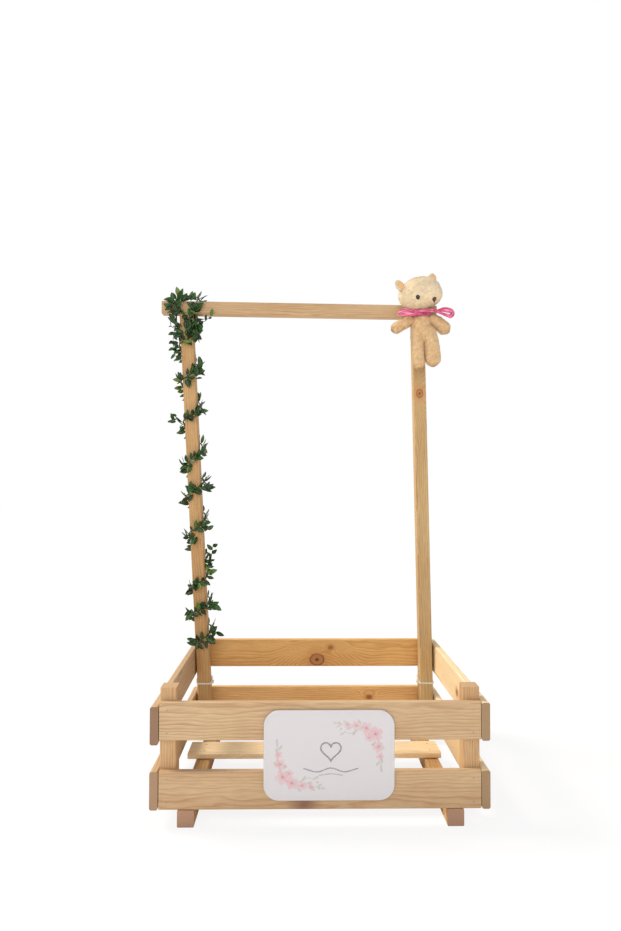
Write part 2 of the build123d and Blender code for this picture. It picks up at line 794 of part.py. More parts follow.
# Ribbon: a collar round the neck, and a bow of a flat knot and an open loop on each side of it
collar_z = body_z + collar_rise
with BuildPart() as collar:
    with BuildSketch(Plane(origin=(body_x, bear_y, collar_z))):
        Circle(ribbon_outer)
        Circle(ribbon_inner, mode=Mode.SUBTRACT)
    extrude(amount=ribbon_width)
save(collar, "ribbon_collar")
knot_back_y = bear_y - ribbon_outer - plush_gap
knot_y = knot_back_y - knot_depth / 2
with BuildPart() as knot:
    with BuildSketch(Plane(origin=(body_x, knot_y, collar_z))):
        SlotOverall(2 * knot_half_width, knot_depth)
    extrude(amount=ribbon_width)
save(knot, "ribbon_knot")
loop_z = collar_z + ribbon_width / 2
for side, sign, length, height in (
    ("left", -1, left_loop_length, left_loop_height),
    ("right", 1, right_loop_length, right_loop_height),
):
    loop_x = body_x + sign * (knot_half_width + plush_gap + length / 2)
    with BuildPart() as loop:
        with BuildSketch(Plane(
            origin=(loop_x, knot_y - loop_depth / 2, loop_z), x_dir=(1, 0, 0), z_dir=(0, -1, 0)
        )):
            Ellipse(length / 2, height / 2)
            Ellipse(length / 2 - ribbon_thickness, height / 2 - ribbon_thickness, mode=Mode.SUBTRACT)
        extrude(amount=-loop_depth)
    save(loop, f"ribbon_{side}_loop")
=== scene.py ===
import bpy
import numpy as np
from mathutils import Matrix, Vector


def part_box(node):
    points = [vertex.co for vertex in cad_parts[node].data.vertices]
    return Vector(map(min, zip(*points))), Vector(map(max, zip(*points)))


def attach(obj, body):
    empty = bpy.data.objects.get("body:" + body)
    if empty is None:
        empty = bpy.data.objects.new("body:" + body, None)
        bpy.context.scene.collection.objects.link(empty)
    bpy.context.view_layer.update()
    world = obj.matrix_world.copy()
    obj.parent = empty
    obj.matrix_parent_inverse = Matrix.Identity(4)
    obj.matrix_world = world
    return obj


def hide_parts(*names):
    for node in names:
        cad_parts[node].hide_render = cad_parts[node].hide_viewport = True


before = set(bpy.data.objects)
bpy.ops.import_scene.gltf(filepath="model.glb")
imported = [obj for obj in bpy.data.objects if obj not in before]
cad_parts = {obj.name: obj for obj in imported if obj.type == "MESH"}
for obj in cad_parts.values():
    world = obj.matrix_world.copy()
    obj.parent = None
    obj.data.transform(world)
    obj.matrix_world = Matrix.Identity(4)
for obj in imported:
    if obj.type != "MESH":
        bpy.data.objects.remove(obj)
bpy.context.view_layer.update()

mm = 0.001


# Small helpers


def linear(hexColour, alpha=1.0):
    # sRGB hex to linear: a channel c becomes ((c + 0.055) / 1.055) to the power 2.4, or c / 12.92 when dark
    values = [int(hexColour[i:i + 2], 16) / 255 for i in (1, 3, 5)]
    values = [c / 12.92 if c <= 0.04045 else ((c + 0.055) / 1.055) ** 2.4 for c in values]
    return (*values, alpha)


def addNode(tree, kind, inputs=None, out=0, stops=None, **settings):
    # one node with its settings and links; gives the output asked for, or the node when out is None
    made = tree.nodes.new(kind)
    for name, value in settings.items():
        setattr(made, name, value)
    for name, value in (inputs or {}).items():
        if isinstance(value, bpy.types.NodeSocket):
            tree.links.new(value, made.inputs[name])
        else:
            made.inputs[name].default_value = value
    if stops:
        band = made.color_ramp
        while len(band.elements) < len(stops):
            band.elements.new(0.5)
        for element, (at, colour) in zip(band.elements, stops):
            element.position = at
            element.color = colour if len(colour) == 4 else (*colour, 1)
    return made if out is None else made.outputs[out]


def startMaterial(name):
    # an empty material; gives the material, its tree and object coordinates
    material = bpy.data.materials.new(name)
    material.use_nodes = True
    tree = material.node_tree
    tree.nodes.clear()
    coords = addNode(tree, "ShaderNodeTexCoord", out="Object")
    return material, tree, coords


def principled(tree, inputs):
    # the shader that ends a material, linked to its output
    shader = addNode(tree, "ShaderNodeBsdfPrincipled", inputs)
    addNode(tree, "ShaderNodeOutputMaterial", {"Surface": shader}, out=None)


def maths(tree, operation, *values):
    # one sum on numbers
    return addNode(tree, "ShaderNodeMath", dict(enumerate(values)), operation=operation)


def vectorMaths(tree, operation, *values):
    # one sum on vectors; a length or a dot product comes out as a number
    out = 1 if operation in ("LENGTH", "DOT_PRODUCT") else 0
    return addNode(tree, "ShaderNodeVectorMath", dict(enumerate(values)), out=out, operation=operation)


def remap(tree, value, fromMin, fromMax, toMin, toMax, **settings):
    # carries one range of numbers over to another and holds it inside
    names = ("Value", "From Min", "From Max", "To Min", "To Max")
    inputs = dict(zip(names, (value, fromMin, fromMax, toMin, toMax)))
    return addNode(tree, "ShaderNodeMapRange", inputs, **settings)


def blend(tree, share, first, second):
    # from the first colour to the second as the share goes from 0 to 1
    return addNode(tree, "ShaderNodeMix", {0: share, 6: first, 7: second}, out=2, data_type="RGBA")


def noiseAt(tree, vector, scale, detail=2.0, out=0, **inputs):
    # cloudy noise, as a number or, with out 1, as a vector
    inputs = {"Vector": vector, "Scale": scale, "Detail": detail, **inputs}
    return addNode(tree, "ShaderNodeTexNoise", inputs, out=out)


def bumpFrom(tree, height, strength, distance):
    # a normal tilted by the slope of a height
    return addNode(tree, "ShaderNodeBump", {"Height": height, "Strength": strength, "Distance": distance})


def addObject(name, data):
    # an object for a mesh, a camera or a lamp, linked to the scene
    made = bpy.data.objects.new(name, data)
    bpy.context.scene.collection.objects.link(made)
    return made


def dress(nodes, material):
    # every material slot of these CAD nodes takes the material
    for node in nodes:
        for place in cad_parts[node].material_slots:
            place.material = material


def meshObject(name, vertices, faces, material):
    # vertices (n, 3) in metres and faces as an index array make one object that rides on the root body
    mesh = bpy.data.meshes.new(name)
    faces = np.asarray(faces)
    mesh.vertices.add(len(vertices))
    mesh.vertices.foreach_set("co", np.asarray(vertices, dtype=np.float32).ravel())
    mesh.loops.add(faces.size)
    mesh.loops.foreach_set("vertex_index", faces.ravel().astype(np.int32))
    mesh.polygons.add(len(faces))
    mesh.polygons.foreach_set("loop_start", np.arange(0, faces.size, faces.shape[1], dtype=np.int32))
    mesh.polygons.foreach_set("loop_total", np.full(len(faces), faces.shape[1], dtype=np.int32))
    mesh.polygons.foreach_set("use_smooth", np.ones(len(faces), dtype=bool))
    mesh.update(calc_edges=True)
    mesh.validate()
    mesh.materials.append(material)
    made = addObject(name, mesh)
    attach(made, "root")
    return made


def ringFaces(rings, around):
    # triangles of a closed form: rings of points in turn, with a single point before and after them
    i, j = np.meshgrid(np.arange(rings - 1), np.arange(around), indexing="ij")
    a = 1 + i * around + j
    b = 1 + i * around + (j + 1) % around
    c, d = b + around, a + around
    walls = np.concatenate([np.stack(way, -1).reshape(-1, 3) for way in ([a, b, c], [a, c, d])])
    k = np.arange(around)
    start = np.stack([np.zeros(around, int), 1 + (k + 1) % around, 1 + k], -1)
    lastRing = 1 + (rings - 1) * around
    end = np.stack([np.full(around, lastRing + around), lastRing + k, lastRing + (k + 1) % around], -1)
    return np.concatenate([start, walls, end])


def gridFaces(rows, columns):
    # quads between the points of a grid, row after row
    i, j = np.meshgrid(np.arange(rows - 1), np.arange(columns - 1), indexing="ij")
    a = i * columns + j
    return np.stack([a, a + 1, a + columns + 1, a + columns], -1).reshape(-1, 4)


def unit(vectors):
    # each vector over its own length
    vectors = np.asarray(vectors, dtype=float)
    return vectors / np.maximum(np.linalg.norm(vectors, axis=-1, keepdims=True), 1e-12)


def ripple(points, wavelength, seed):
    # soft bumps: the mean of 12 sines along random directions, each with about this wavelength, -1 to 1
    draw = np.random.default_rng(seed)
    waves = unit(draw.normal(size=(12, 3))) * (2 * np.pi / wavelength) * draw.uniform(0.7, 1.4, (12, 1))
    return np.sin(points @ waves.T + draw.uniform(0, 2 * np.pi, 12)).mean(axis=1) * 2


def smoothPath(points, count):
    # a curve through the points: each span is a cubic whose slope at a point is that of its two neighbours
    points = np.asarray(points, dtype=float)
    slopes = np.gradient(points, axis=0)
    t = np.linspace(0, len(points) - 1, count)
    i = np.minimum(t.astype(int), len(points) - 2)
    s = (t - i)[:, None]
    h00, h10 = 2 * s**3 - 3 * s**2 + 1, s**3 - 2 * s**2 + s
    h01, h11 = -2 * s**3 + 3 * s**2, s**3 - s**2
    return h00 * points[i] + h10 * slopes[i] + h01 * points[i + 1] + h11 * slopes[i + 1]


def tube(path, radii, around):
    # rings of a radius across each point of a path, turned as little as possible from one to the next
    along = unit(np.gradient(path, axis=0))
    side = np.zeros_like(along)
    side[0] = unit(np.cross(along[0], (0.3, 0.5, 0.8)))
    for i in range(1, len(path)):
        side[i] = unit(side[i - 1] - along[i] * (side[i - 1] @ along[i]))
    up = np.cross(along, side)
    angle = np.linspace(0, 2 * np.pi, around, endpoint=False)
    spoke = side[:, None] * np.cos(angle)[None, :, None] + up[:, None] * np.sin(angle)[None, :, None]
    rings = path[:, None] + spoke * np.reshape(radii, (-1, 1, 1))
    vertices = np.concatenate([path[:1], rings.reshape(-1, 3), path[-1:]])
    return vertices, ringFaces(len(path), around)


# Camera, solved from the photograph's edges: 621 x 931 px, with the principal point in the middle

cameraLook = {
    "place": (-0.011002, -0.957462, 0.405654),
    "yaw": -0.017, "pitch": 0.028, "roll": 0.003,  # radians: to the left, up and clockwise
    "focalPx": 661.619, "widthPx": 621, "heightPx": 931, "sensor": 36.0,
}


def cameraAxes(look):
    # forward is yaw about Z, then pitch up; right and up are turned by the roll
    sy, cy = np.sin(look["yaw"]), np.cos(look["yaw"])
    sp, cp = np.sin(look["pitch"]), np.cos(look["pitch"])
    sr, cr = np.sin(look["roll"]), np.cos(look["roll"])
    forward = np.array([-sy * cp, cy * cp, sp])
    right = np.array([cy, sy, 0.0])
    up = np.cross(right, forward)
    return right * cr + up * sr, up * cr - right * sr, forward


camPlace = np.array(cameraLook["place"])
camRight, camUp, camForward = cameraAxes(cameraLook)


def atPixel(px, py, y):
    # the point seen at a pixel of the photograph, in the upright plane at this y
    across = (px - cameraLook["widthPx"] / 2) / cameraLook["focalPx"]
    rise = (cameraLook["heightPx"] / 2 - py) / cameraLook["focalPx"]
    way = camForward + camRight * across + camUp * rise
    return camPlace + way * (y - camPlace[1]) / way[1]


def pixelOf(points):
    # where points land in the photograph: focal length times the offset across or down, over the depth
    away = points - camPlace
    depth = away @ camForward
    across = away @ camRight / depth * cameraLook["focalPx"]
    rise = away @ camUp / depth * cameraLook["focalPx"]
    return np.stack([cameraLook["widthPx"] / 2 + across, cameraLook["heightPx"] / 2 - rise], -1)


def placeCamera(look):
    data = bpy.data.cameras.new("camera")
    data.sensor_width = look["sensor"]
    data.lens = look["focalPx"] / look["heightPx"] * look["sensor"]
    data.clip_start = 0.01
    made = addObject("camera", data)
    rotation = Matrix((camRight, camUp, -camForward)).transposed().to_4x4()
    made.matrix_world = Matrix.Translation(look["place"]) @ rotation
    bpy.context.scene.camera = made


placeCamera(cameraLook)
print("camera placed")


# Bare planed pine: pale spring wood, amber summer bands along the grain, small brown knots, dull satin

frontTone, backTone, legTone = ("#c6aa83", "#a98157"), ("#e2b46f", "#b87f3f"), ("#c29c66", "#a3713c")
# painted light: the plank tone is lifted paler than the wood, to make up for the shadow the laths cast on
# the planks
# painted light: the right laths' pale tone is a sunlit copy of the lath wood, paler than the left laths
postTone, plankToneWithPaintedLight, paintedSunlitTone = ("#caa87b", "#a97a4a"), ("#f6dfb6", "#dfba83"), ("#f2dcb2", "#dcba86")
acrossFront, alongSide = dict(grain=(1, 0, 0), face=(0, 1, 0)), dict(grain=(0, 1, 0), face=(1, 0, 0))
upright = dict(grain=(0, 0, 1), face=(0, 1, 0), tone=postTone, end="#b8946b")
alongRunner = dict(grain=(0, 1, 0), face=(0, 0, 1), tone=legTone)
# the planks' tone is painted light: paler than the wood, to make up for the laths' shadow on them
acrossPlank = dict(grain=(1, 0, 0), face=(0, 0, 1), tone=plankToneWithPaintedLight)
timber = {
    # ring is the bands' spacing in mm, and heart where the tree's middle lay, across the face and behind it
    # knots are x, y, z and radius; stains are x, y, z and their reach along the grain and across it
    "front_upper_lath": dict(acrossFront, tone=frontTone, ring=2.6, heart=(-31, 46), seed=1),
    "front_lower_lath": dict(acrossFront, tone=("#c1a37c", "#a67c52"), ring=3.2, heart=(26, 38), seed=2,
                             stains=[(-4, -163, 26, 21, 15)]),
    "back_upper_lath": dict(acrossFront, tone=backTone, ring=3.6, heart=(-16, 30), seed=3,
                            knots=[(19.8, 157, 112.4, 9.5), (42.5, 157, 132.3, 3.4)]),
    # painted light: this lath's tone is paler than the wood, to make up for the shade inside the crate
    "back_lower_lath": dict(acrossFront, tone=("#efc384", "#c68f52"), ring=2.9, heart=(34, 30), seed=4,
                            knots=[(106.9, 157, 50.1, 3.6)]),
    "left_upper_lath": dict(alongSide, tone=frontTone, end="#75553f", ring=3.0, heart=(22, 34), seed=5),
    "left_lower_lath": dict(alongSide, tone=frontTone, end="#94745a", ring=2.7, heart=(-28, 30), seed=6,
                            knots=[(-184, 44, 52, 5)]),
    # the right laths take the pale tone, painted light for the sun on their inner faces
    "right_upper_lath": dict(alongSide, tone=paintedSunlitTone, end="#7d5c3c", ring=3.1, heart=(-24, 36), seed=7,
                             knots=[(212, -38, 118, 4)]),
    "right_lower_lath": dict(alongSide, tone=paintedSunlitTone, end="#7d5c3c", ring=2.8, heart=(30, 28), seed=8),
    "front_left_post": dict(upright, ring=2.4, heart=(16, 22), seed=9),
    "front_right_post": dict(upright, ring=2.2, heart=(-14, 20), seed=10),
    "back_left_post": dict(upright, ring=2.5, heart=(-18, 18), seed=11),
    "back_right_post": dict(upright, ring=2.4, heart=(12, 24), seed=12),
    "left_arch_leg": dict(grain=(-37, 0, 655), face=(0, 1, 0), tone=legTone, ring=3.4,
                          heart=(13, 17), seed=13, knots=[(-183, 116, 322, 3)]),
    "right_arch_leg": dict(grain=(-14, 0, 651), face=(0, 1, 0), tone=("#c8ab78", "#a77c48"), ring=3.0,
                           heart=(-12, 19), seed=14, knots=[(185.2, 116.5, 554, 5.5)]),
    "top_rail": dict(grain=(1, 0, -0.0105), face=(0, 1, 0), tone=("#c6a980", "#a87d4e"), ring=2.7,
                     heart=(15, 20), seed=15),
    "left_runner": dict(alongRunner, ring=2.6, heart=(14, 16), seed=16),
    "right_runner": dict(alongRunner, ring=2.3, heart=(-12, 14), seed=17),
    "front_plank": dict(acrossPlank, ring=3.2, heart=(30, 32), seed=18),
    "middle_plank": dict(acrossPlank, ring=2.8, heart=(-26, 36), seed=19),
    "back_plank": dict(acrossPlank, ring=3.0, heart=(20, 30), seed=20),
}
pineLook = {
    "knotCore": "#4e2810", "knotWood": "#a8703a", "knotRim": "#6f3d1c", "knotHalo": "#b5793c",
    "stain": "#7a5540", "endGrain": "#9c7864",
    "slowScale": (0.007, 0.03, 0.03),  # per mm, along the grain and across it
    "wanderMm": 3.0,      # how far a ring strays from a true circle
    "fibreMm": 0.7,       # width of the finest streaks, a little coarser than real ones so that they show
    # how dark a ring is from its spring wood to the end of its summer wood
    "band": ((0.0, 0.05), (0.5, 0.18), (0.86, 1.0), (0.95, 0.75), (1.0, 0.05)),
    "roughness": 0.62,
}


def pineMaterial(pieceName, look):
    # bands: the distance from the heart of the tree, bent by slow noise and by knots, over the ring spacing
    material, tree, coords = startMaterial("planed pine, " + pieceName.replace("_", " "))
    low, high = (Vector(corner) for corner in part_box(pieceName))
    along = Vector(look["grain"]).normalized()
    face = Vector(look["face"])
    across = face.cross(along).normalized()
    face = along.cross(across)
    turn = Matrix((along, across, face))
    middle = turn @ ((low + high) / 2) / mm
    local = addNode(tree, "ShaderNodeMapping", {
        "Vector": coords, "Location": -middle,
        "Rotation": turn.to_euler(), "Scale": (1 / mm,) * 3,
    })
    shift = (look["seed"] * 137.0, look["seed"] * 71.0, look["seed"] * 29.0)

    # slow wandering of the rings, far longer along the grain than across it
    slow = addNode(tree, "ShaderNodeMapping", {
        "Vector": local, "Location": shift, "Scale": pineLook["slowScale"]})
    wander = noiseAt(tree, slow, 1.0, 3.0, out=1, Roughness=0.45)
    wander = vectorMaths(tree, "ADD", wander, (-0.5, -0.5, -0.5))
    amount = 2 * pineLook["wanderMm"]
    wander = vectorMaths(tree, "MULTIPLY", wander, (0, amount, amount))
    fromHeart = vectorMaths(tree, "ADD", local, (0, -look["heart"][0], look["heart"][1]))
    fromHeart = vectorMaths(tree, "MULTIPLY", fromHeart, (0, 1, 1))
    fromHeart = vectorMaths(tree, "ADD", fromHeart, wander)
    radius = vectorMaths(tree, "LENGTH", fromHeart)

    # each knot lifts the rings round it into long eyes
    knotMasks = []
    for knotX, knotY, knotZ, size in look.get("knots", []):
        spot = turn @ Vector((knotX, knotY, knotZ)) - middle
        reach = vectorMaths(tree, "SUBTRACT", local, spot)
        eye = vectorMaths(tree, "MULTIPLY", reach, (0.42 / size, 1 / size, 0.0))
        eye = vectorMaths(tree, "LENGTH", eye)
        lift = remap(tree, eye, 0.3, 4.2, 2.6 * size, 0.0, interpolation_type="SMOOTHERSTEP")
        radius = maths(tree, "ADD", radius, lift)
        disc = vectorMaths(tree, "MULTIPLY", reach, (0.8 / size, 1 / size, 0.0))
        disc = vectorMaths(tree, "LENGTH", disc)
        knotMasks.append(disc)

    phase = maths(tree, "DIVIDE", radius, look["ring"])
    drift = noiseAt(tree, slow, 2.3, 1.0)
    phase = maths(tree, "MULTIPLY_ADD", drift, 2.2, phase)
    phase = maths(tree, "FRACT", phase)
    band = addNode(tree, "ShaderNodeValToRGB", {"Fac": phase}, stops=[
        (at, (level,) * 3) for at, level in pineLook["band"]])
    depth = noiseAt(tree, slow, 1.2, 1.0)
    depth = remap(tree, depth, 0.3, 0.7, 0.4, 1.0)
    band = maths(tree, "MULTIPLY", band, depth)

    # fine fibres and pores, streaks along the grain
    fine = addNode(tree, "ShaderNodeMapping", {
        "Vector": local, "Scale": (0.05, 1 / pineLook["fibreMm"], 1 / pineLook["fibreMm"])})
    fibre = noiseAt(tree, fine, 1.0, 3.0, Roughness=0.6)
    broad = noiseAt(tree, slow, 0.6)

    spring, summer = (linear(tone) for tone in look["tone"])
    colour = blend(tree, band, spring, summer)
    blush = remap(tree, broad, 0.35, 0.7, 0.0, 0.45)
    colour = blend(tree, blush, colour, linear(look["tone"][1]))
    streak = remap(tree, fibre, 0.3, 0.7, 0.8, 1.12)
    colour = vectorMaths(tree, "MULTIPLY", colour, streak)

    # a knot from its middle out: dark pith, warm rings, a dark bark line and a halo that fades into the wood
    for disc in knotMasks:
        ragged = maths(tree, "MULTIPLY_ADD", fibre, 0.35, disc)
        halo = remap(tree, ragged, 1.1, 2.8, 0.6, 0.0)
        colour = blend(tree, halo, colour, linear(pineLook["knotHalo"]))
        heartwood = remap(tree, ragged, 0.15, 1.3, 0, 1)
        heartwood = addNode(tree, "ShaderNodeValToRGB", {"Fac": heartwood}, stops=[
            (0.0, linear(pineLook["knotCore"])), (0.22, linear(pineLook["knotRim"])),
            (0.34, linear(pineLook["knotWood"])), (0.72, linear(pineLook["knotWood"])),
            (0.86, linear(pineLook["knotRim"])), (1.0, linear(pineLook["knotCore"]))])
        core = remap(tree, ragged, 1.14, 1.3, 1.0, 0.0)
        colour = blend(tree, core, colour, heartwood)
    for stainX, stainY, stainZ, long, high in look.get("stains", []):
        spot = turn @ Vector((stainX, stainY, stainZ)) - middle
        reach = vectorMaths(tree, "SUBTRACT", local, spot)
        reach = vectorMaths(tree, "MULTIPLY", reach, (1 / long, 1 / high, 0))
        reach = vectorMaths(tree, "LENGTH", reach)
        reach = maths(tree, "MULTIPLY_ADD", fibre, 0.6, reach)
        mark = remap(tree, reach, 0.4, 1.4, 0.95, 0.0)
        colour = blend(tree, mark, colour, linear(pineLook["stain"]))

    # sawn ends drink up dirt and look darker
    normal = addNode(tree, "ShaderNodeTexCoord", out="Normal")
    ends = vectorMaths(tree, "DOT_PRODUCT", normal, along)
    ends = maths(tree, "ABSOLUTE", ends)
    ends = remap(tree, ends, 0.75, 0.97, 0.0, 0.82)
    colour = blend(tree, ends, colour, linear(look.get("end", pineLook["endGrain"])))

    height = maths(tree, "MULTIPLY_ADD", band, 0.5, fibre)
    bump = bumpFrom(tree, height, 0.25, 0.0003)
    rough = remap(tree, fibre, 0, 1, pineLook["roughness"] - 0.08, pineLook["roughness"] + 0.1)
    principled(tree, {
        "Base Color": colour, "Roughness": rough, "Normal": bump, "IOR": 1.5})
    return material


for name, look in timber.items():
    dress([name], pineMaterial(name, look))
print("timber finished:", len(timber), "pieces")


# Small hardware that keeps its CAD shape


def plainMaterial(name, colour, variation, roughness, patternMm, bumpMm=0.0, **more):
    # a colour that drifts a little with noise of a real size, with the same noise as a faint bump
    material, tree, coords = startMaterial(name)
    noise = noiseAt(tree, coords, 1 / (patternMm * mm), 3.0)
    tint = blend(tree, noise, linear(colour), linear(variation))
    rough = remap(tree, noise, 0, 1, roughness - 0.06, roughness + 0.06)
    bump = bumpFrom(tree, noise, 0.4, bumpMm * mm)
    principled(tree, {
        "Base Color": tint, "Roughness": rough, "Normal": bump,
        **{key.replace("_", " "): value for key, value in more.items()}})
    return material


hardware = {
    # drawn steel wire nail, bright but a little dulled, so its head is a small grey dot
    "bright wire nail": dict(nodes=("lath_brads", "plank_brads", "runner_nails", "rail_nails"),
                             colour="#a9a7a3", variation="#7f7a72", roughness=0.38, patternMm=0.8,
                             bumpMm=0.05, Metallic=1.0),
    # natural nylon 66, moulded: milky, slightly see-through white with a soft shine
    "natural nylon cable tie": dict(nodes=("left_cable_tie", "right_cable_tie"),
                                    colour="#ece4d2", variation="#d9cdb4", roughness=0.42, patternMm=3,
                                    bumpMm=0.08, Subsurface_Weight=0.15),
    # closed-cell polyethylene foam: matt pale grey with tiny cells
    "closed cell foam pad": dict(nodes=("plaque_pads",), colour="#d8d6d2", variation="#bfbcb6",
                                 roughness=0.85, patternMm=0.5, bumpMm=0.2),
    # hot-melt EVA: waxy, cloudy, smooth
    "hot melt glue": dict(nodes=("bear_glue",), colour="#e9e2cf", variation="#d5cab0", roughness=0.3,
                          patternMm=2, bumpMm=0.1, Subsurface_Weight=0.2),
    # printed foamed PVC board: white satin skin with a faint orange peel, its white greyed by painted shade
    "foamed PVC board": dict(nodes=("front_plaque",), colour="#cbc8c8", variation="#c5c2c3",
                             roughness=0.42, patternMm=9, bumpMm=0.05),
}
for name, look in hardware.items():
    dress(look.pop("nodes"), plainMaterial(name, **look))
print("hardware finished")


# Print on the plaque: a fine grid whose points carry the colour of soft watercolour blossoms

printLook = {
    "inset": 0.006,      # margin of the printed film inside the plaque's edges
    "step": 0.0006,      # grid spacing
    "proud": 0.00004,    # the film's thickness in front of the board
    # the paper is the board's white greyed by painted shade
    "shadedPaper": "#c9c6c7", "petal": "#cf9da1", "petalDeep": "#b67a82", "eye": "#8a5a60",
    "leaf": "#a3a796", "stem": "#97938a", "ink": "#3b3b3d",
}


def paintPlaque(look):
    # every shape is a soft mask over the grid, an ellipse or a thin line, laid over the paper, a white
    # greyed by painted shade
    low, high = np.array(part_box("front_plaque"))
    width, height = (high - low)[0] - 2 * look["inset"], (high - low)[2] - 2 * look["inset"]
    columns, rows = int(width / look["step"]), int(height / look["step"])
    u = np.linspace(-width / 2, width / 2, columns)
    v = np.linspace(-height / 2, height / 2, rows)
    across, up = np.meshgrid(u, v)
    x, z = across / mm, up / mm
    draw = np.random.default_rng(5)
    blur = 0.45  # mm, the softness of a brush edge
    x = x + 0.25 * np.sin(z * 2.1 + 1) + 0.15 * np.sin(z * 5.3)
    z = z + 0.25 * np.sin(x * 1.9 + 2) + 0.15 * np.sin(x * 4.7)
    picture = np.broadcast_to(np.array(linear(look["shadedPaper"])[:3]), (*x.shape, 3)).copy()

    def wash(mask, colour, strength):
        # lays a colour over the picture where the mask is, stronger at its rim, as paint dries
        mask = np.clip(mask, 0, 1)
        rim = mask * (1 - mask) * 4
        alpha = (mask * 0.75 + rim * 0.25) * strength
        picture[:] = picture * (1 - alpha[..., None]) + np.array(linear(colour)[:3]) * alpha[..., None]

    def oval(cx, cz, angle, long, wide, taper=0.0):
        # soft mask of an ellipse turned by an angle, narrower towards its far end by the taper
        a = (x - cx) * np.cos(angle) + (z - cz) * np.sin(angle)
        b = -(x - cx) * np.sin(angle) + (z - cz) * np.cos(angle)
        reach = np.sqrt((a / long) ** 2 + (b / (wide * (1 - taper * a / long))) ** 2)
        return (1 - reach) * min(long, wide) / blur

    def line(points, halfWidth):
        # soft mask of a thin stroke along a smooth path
        path = smoothPath([(px, 0, pz) for px, pz in points], 160)[:, [0, 2]]
        distance = np.full(x.shape, 1e9)
        for px, pz in path:
            distance = np.minimum(distance, (x - px) ** 2 + (z - pz) ** 2)
        return (halfWidth + blur * 0.5 - np.sqrt(distance)) / blur

    def blossom(cx, cz, size, turn):
        # five ovals round a small eye
        for k in range(5):
            angle = turn + k * 2 * np.pi / 5
            px, pz = cx + np.cos(angle) * size * 0.55, cz + np.sin(angle) * size * 0.55
            petal = oval(px, pz, angle, size * 0.55, size * 0.42, -0.25)
            wash(petal, look["petal"], draw.uniform(0.45, 0.75))
            px, pz = cx + np.cos(angle) * size * 0.3, cz + np.sin(angle) * size * 0.3
            wash(oval(px, pz, angle, size * 0.28, size * 0.1), look["petalDeep"], 0.45)
        wash(oval(cx, cz, 0, size * 0.16, size * 0.16), look["eye"], 0.7)

    for side in (-1, 1):
        # one spray low on the left, the same turned half round high on the right
        stems = [
            [(-60, -6), (-57, -20), (-50, -29), (-34, -35), (-12, -37)],
            [(-57, -20), (-62, -2), (-61, 12)],
            [(-40, -33), (-26, -26), (-18, -28)],
        ]
        for stem in stems:
            wash(line([(side * px, side * pz) for px, pz in stem], 0.25), look["stem"], 0.7)
        for px, pz, angle in (
            (-62, 5, 1.9), (-58, 9, 0.9), (-61.5, 14, 1.6), (-53, -14, 0.6), (-63, -10, 2.4),
            (-24, -32, 0.4), (-20, -38.5, -0.5), (-12, -35, 0.5), (-8, -38, -0.1), (-30, -27, 1.0),
            (-36, -39, -1.0), (-16, -26, 0.5),
        ):
            angle = angle if side < 0 else angle + np.pi
            leaf = oval(side * px, side * pz, angle, 4.2, 1.5, 0.35)
            wash(leaf, look["leaf"], draw.uniform(0.5, 0.85))
        for px, pz, size in (
            (-55, -25, 8.5), (-44, -32, 7.2), (-58, -10, 6.4), (-32, -35, 5.6), (-60, 1, 4.6),
            (-22, -35.5, 4.0), (-47, -21, 4.8),
        ):
            blossom(side * px, side * pz, size, draw.uniform(0, 1.2))
        for px, pz in ((-12, -38.5), (-62, 18), (-14, -31), (-52, -12.5)):
            wash(oval(side * px, side * pz, 1.2, 1.5, 1.2), look["petalDeep"], 0.7)

    # heart drawn with a brush pen, with a flourish under it
    t = np.linspace(0, 2 * np.pi, 60)
    heartX = 16 * np.sin(t) ** 3
    heartZ = 13 * np.cos(t) - 5 * np.cos(2 * t) - 2 * np.cos(3 * t) - np.cos(4 * t)
    wash(line(list(zip(2 + heartX * 0.75, 6 + heartZ * 0.75)), 0.75), look["ink"], 0.95)
    wash(line([(-30, -15), (-14, -19), (2, -14.5), (18, -19), (34, -15)], 0.55), look["ink"], 0.9)
    wash(line([(-12, -23), (2, -21.2), (16, -23)], 0.35), look["ink"], 0.7)

    middle = (low + high) / 2
    points = np.stack([
        across + middle[0], np.full(x.shape, low[1] - look["proud"]), up + middle[2]], -1).reshape(-1, 3)
    return points, gridFaces(rows, columns), picture.reshape(-1, 3)


# a UV-cured ink on the board: the same satin as the board, colour only
inkFinish, tree, coords = startMaterial("ink printed on PVC board")
colour = addNode(tree, "ShaderNodeAttribute", attribute_name="printColour")
noise = noiseAt(tree, coords, 1 / (9 * mm))
rough = remap(tree, noise, 0, 1, 0.36, 0.48)
principled(tree, {"Base Color": colour, "Roughness": rough})
points, faces, colours = paintPlaque(printLook)
plaquePrint = meshObject("plaque_print", points, faces, inkFinish)
layer = plaquePrint.data.color_attributes.new("printColour", "FLOAT_COLOR", "POINT")
colours = np.concatenate([colours, np.ones((len(colours), 1))], 1)
layer.data.foreach_set("color", colours.astype(np.float32).ravel())
print("plaque printed:", len(points), "points")


# Garland: a woody stem wound round the leg, set all along with small waxy leaves

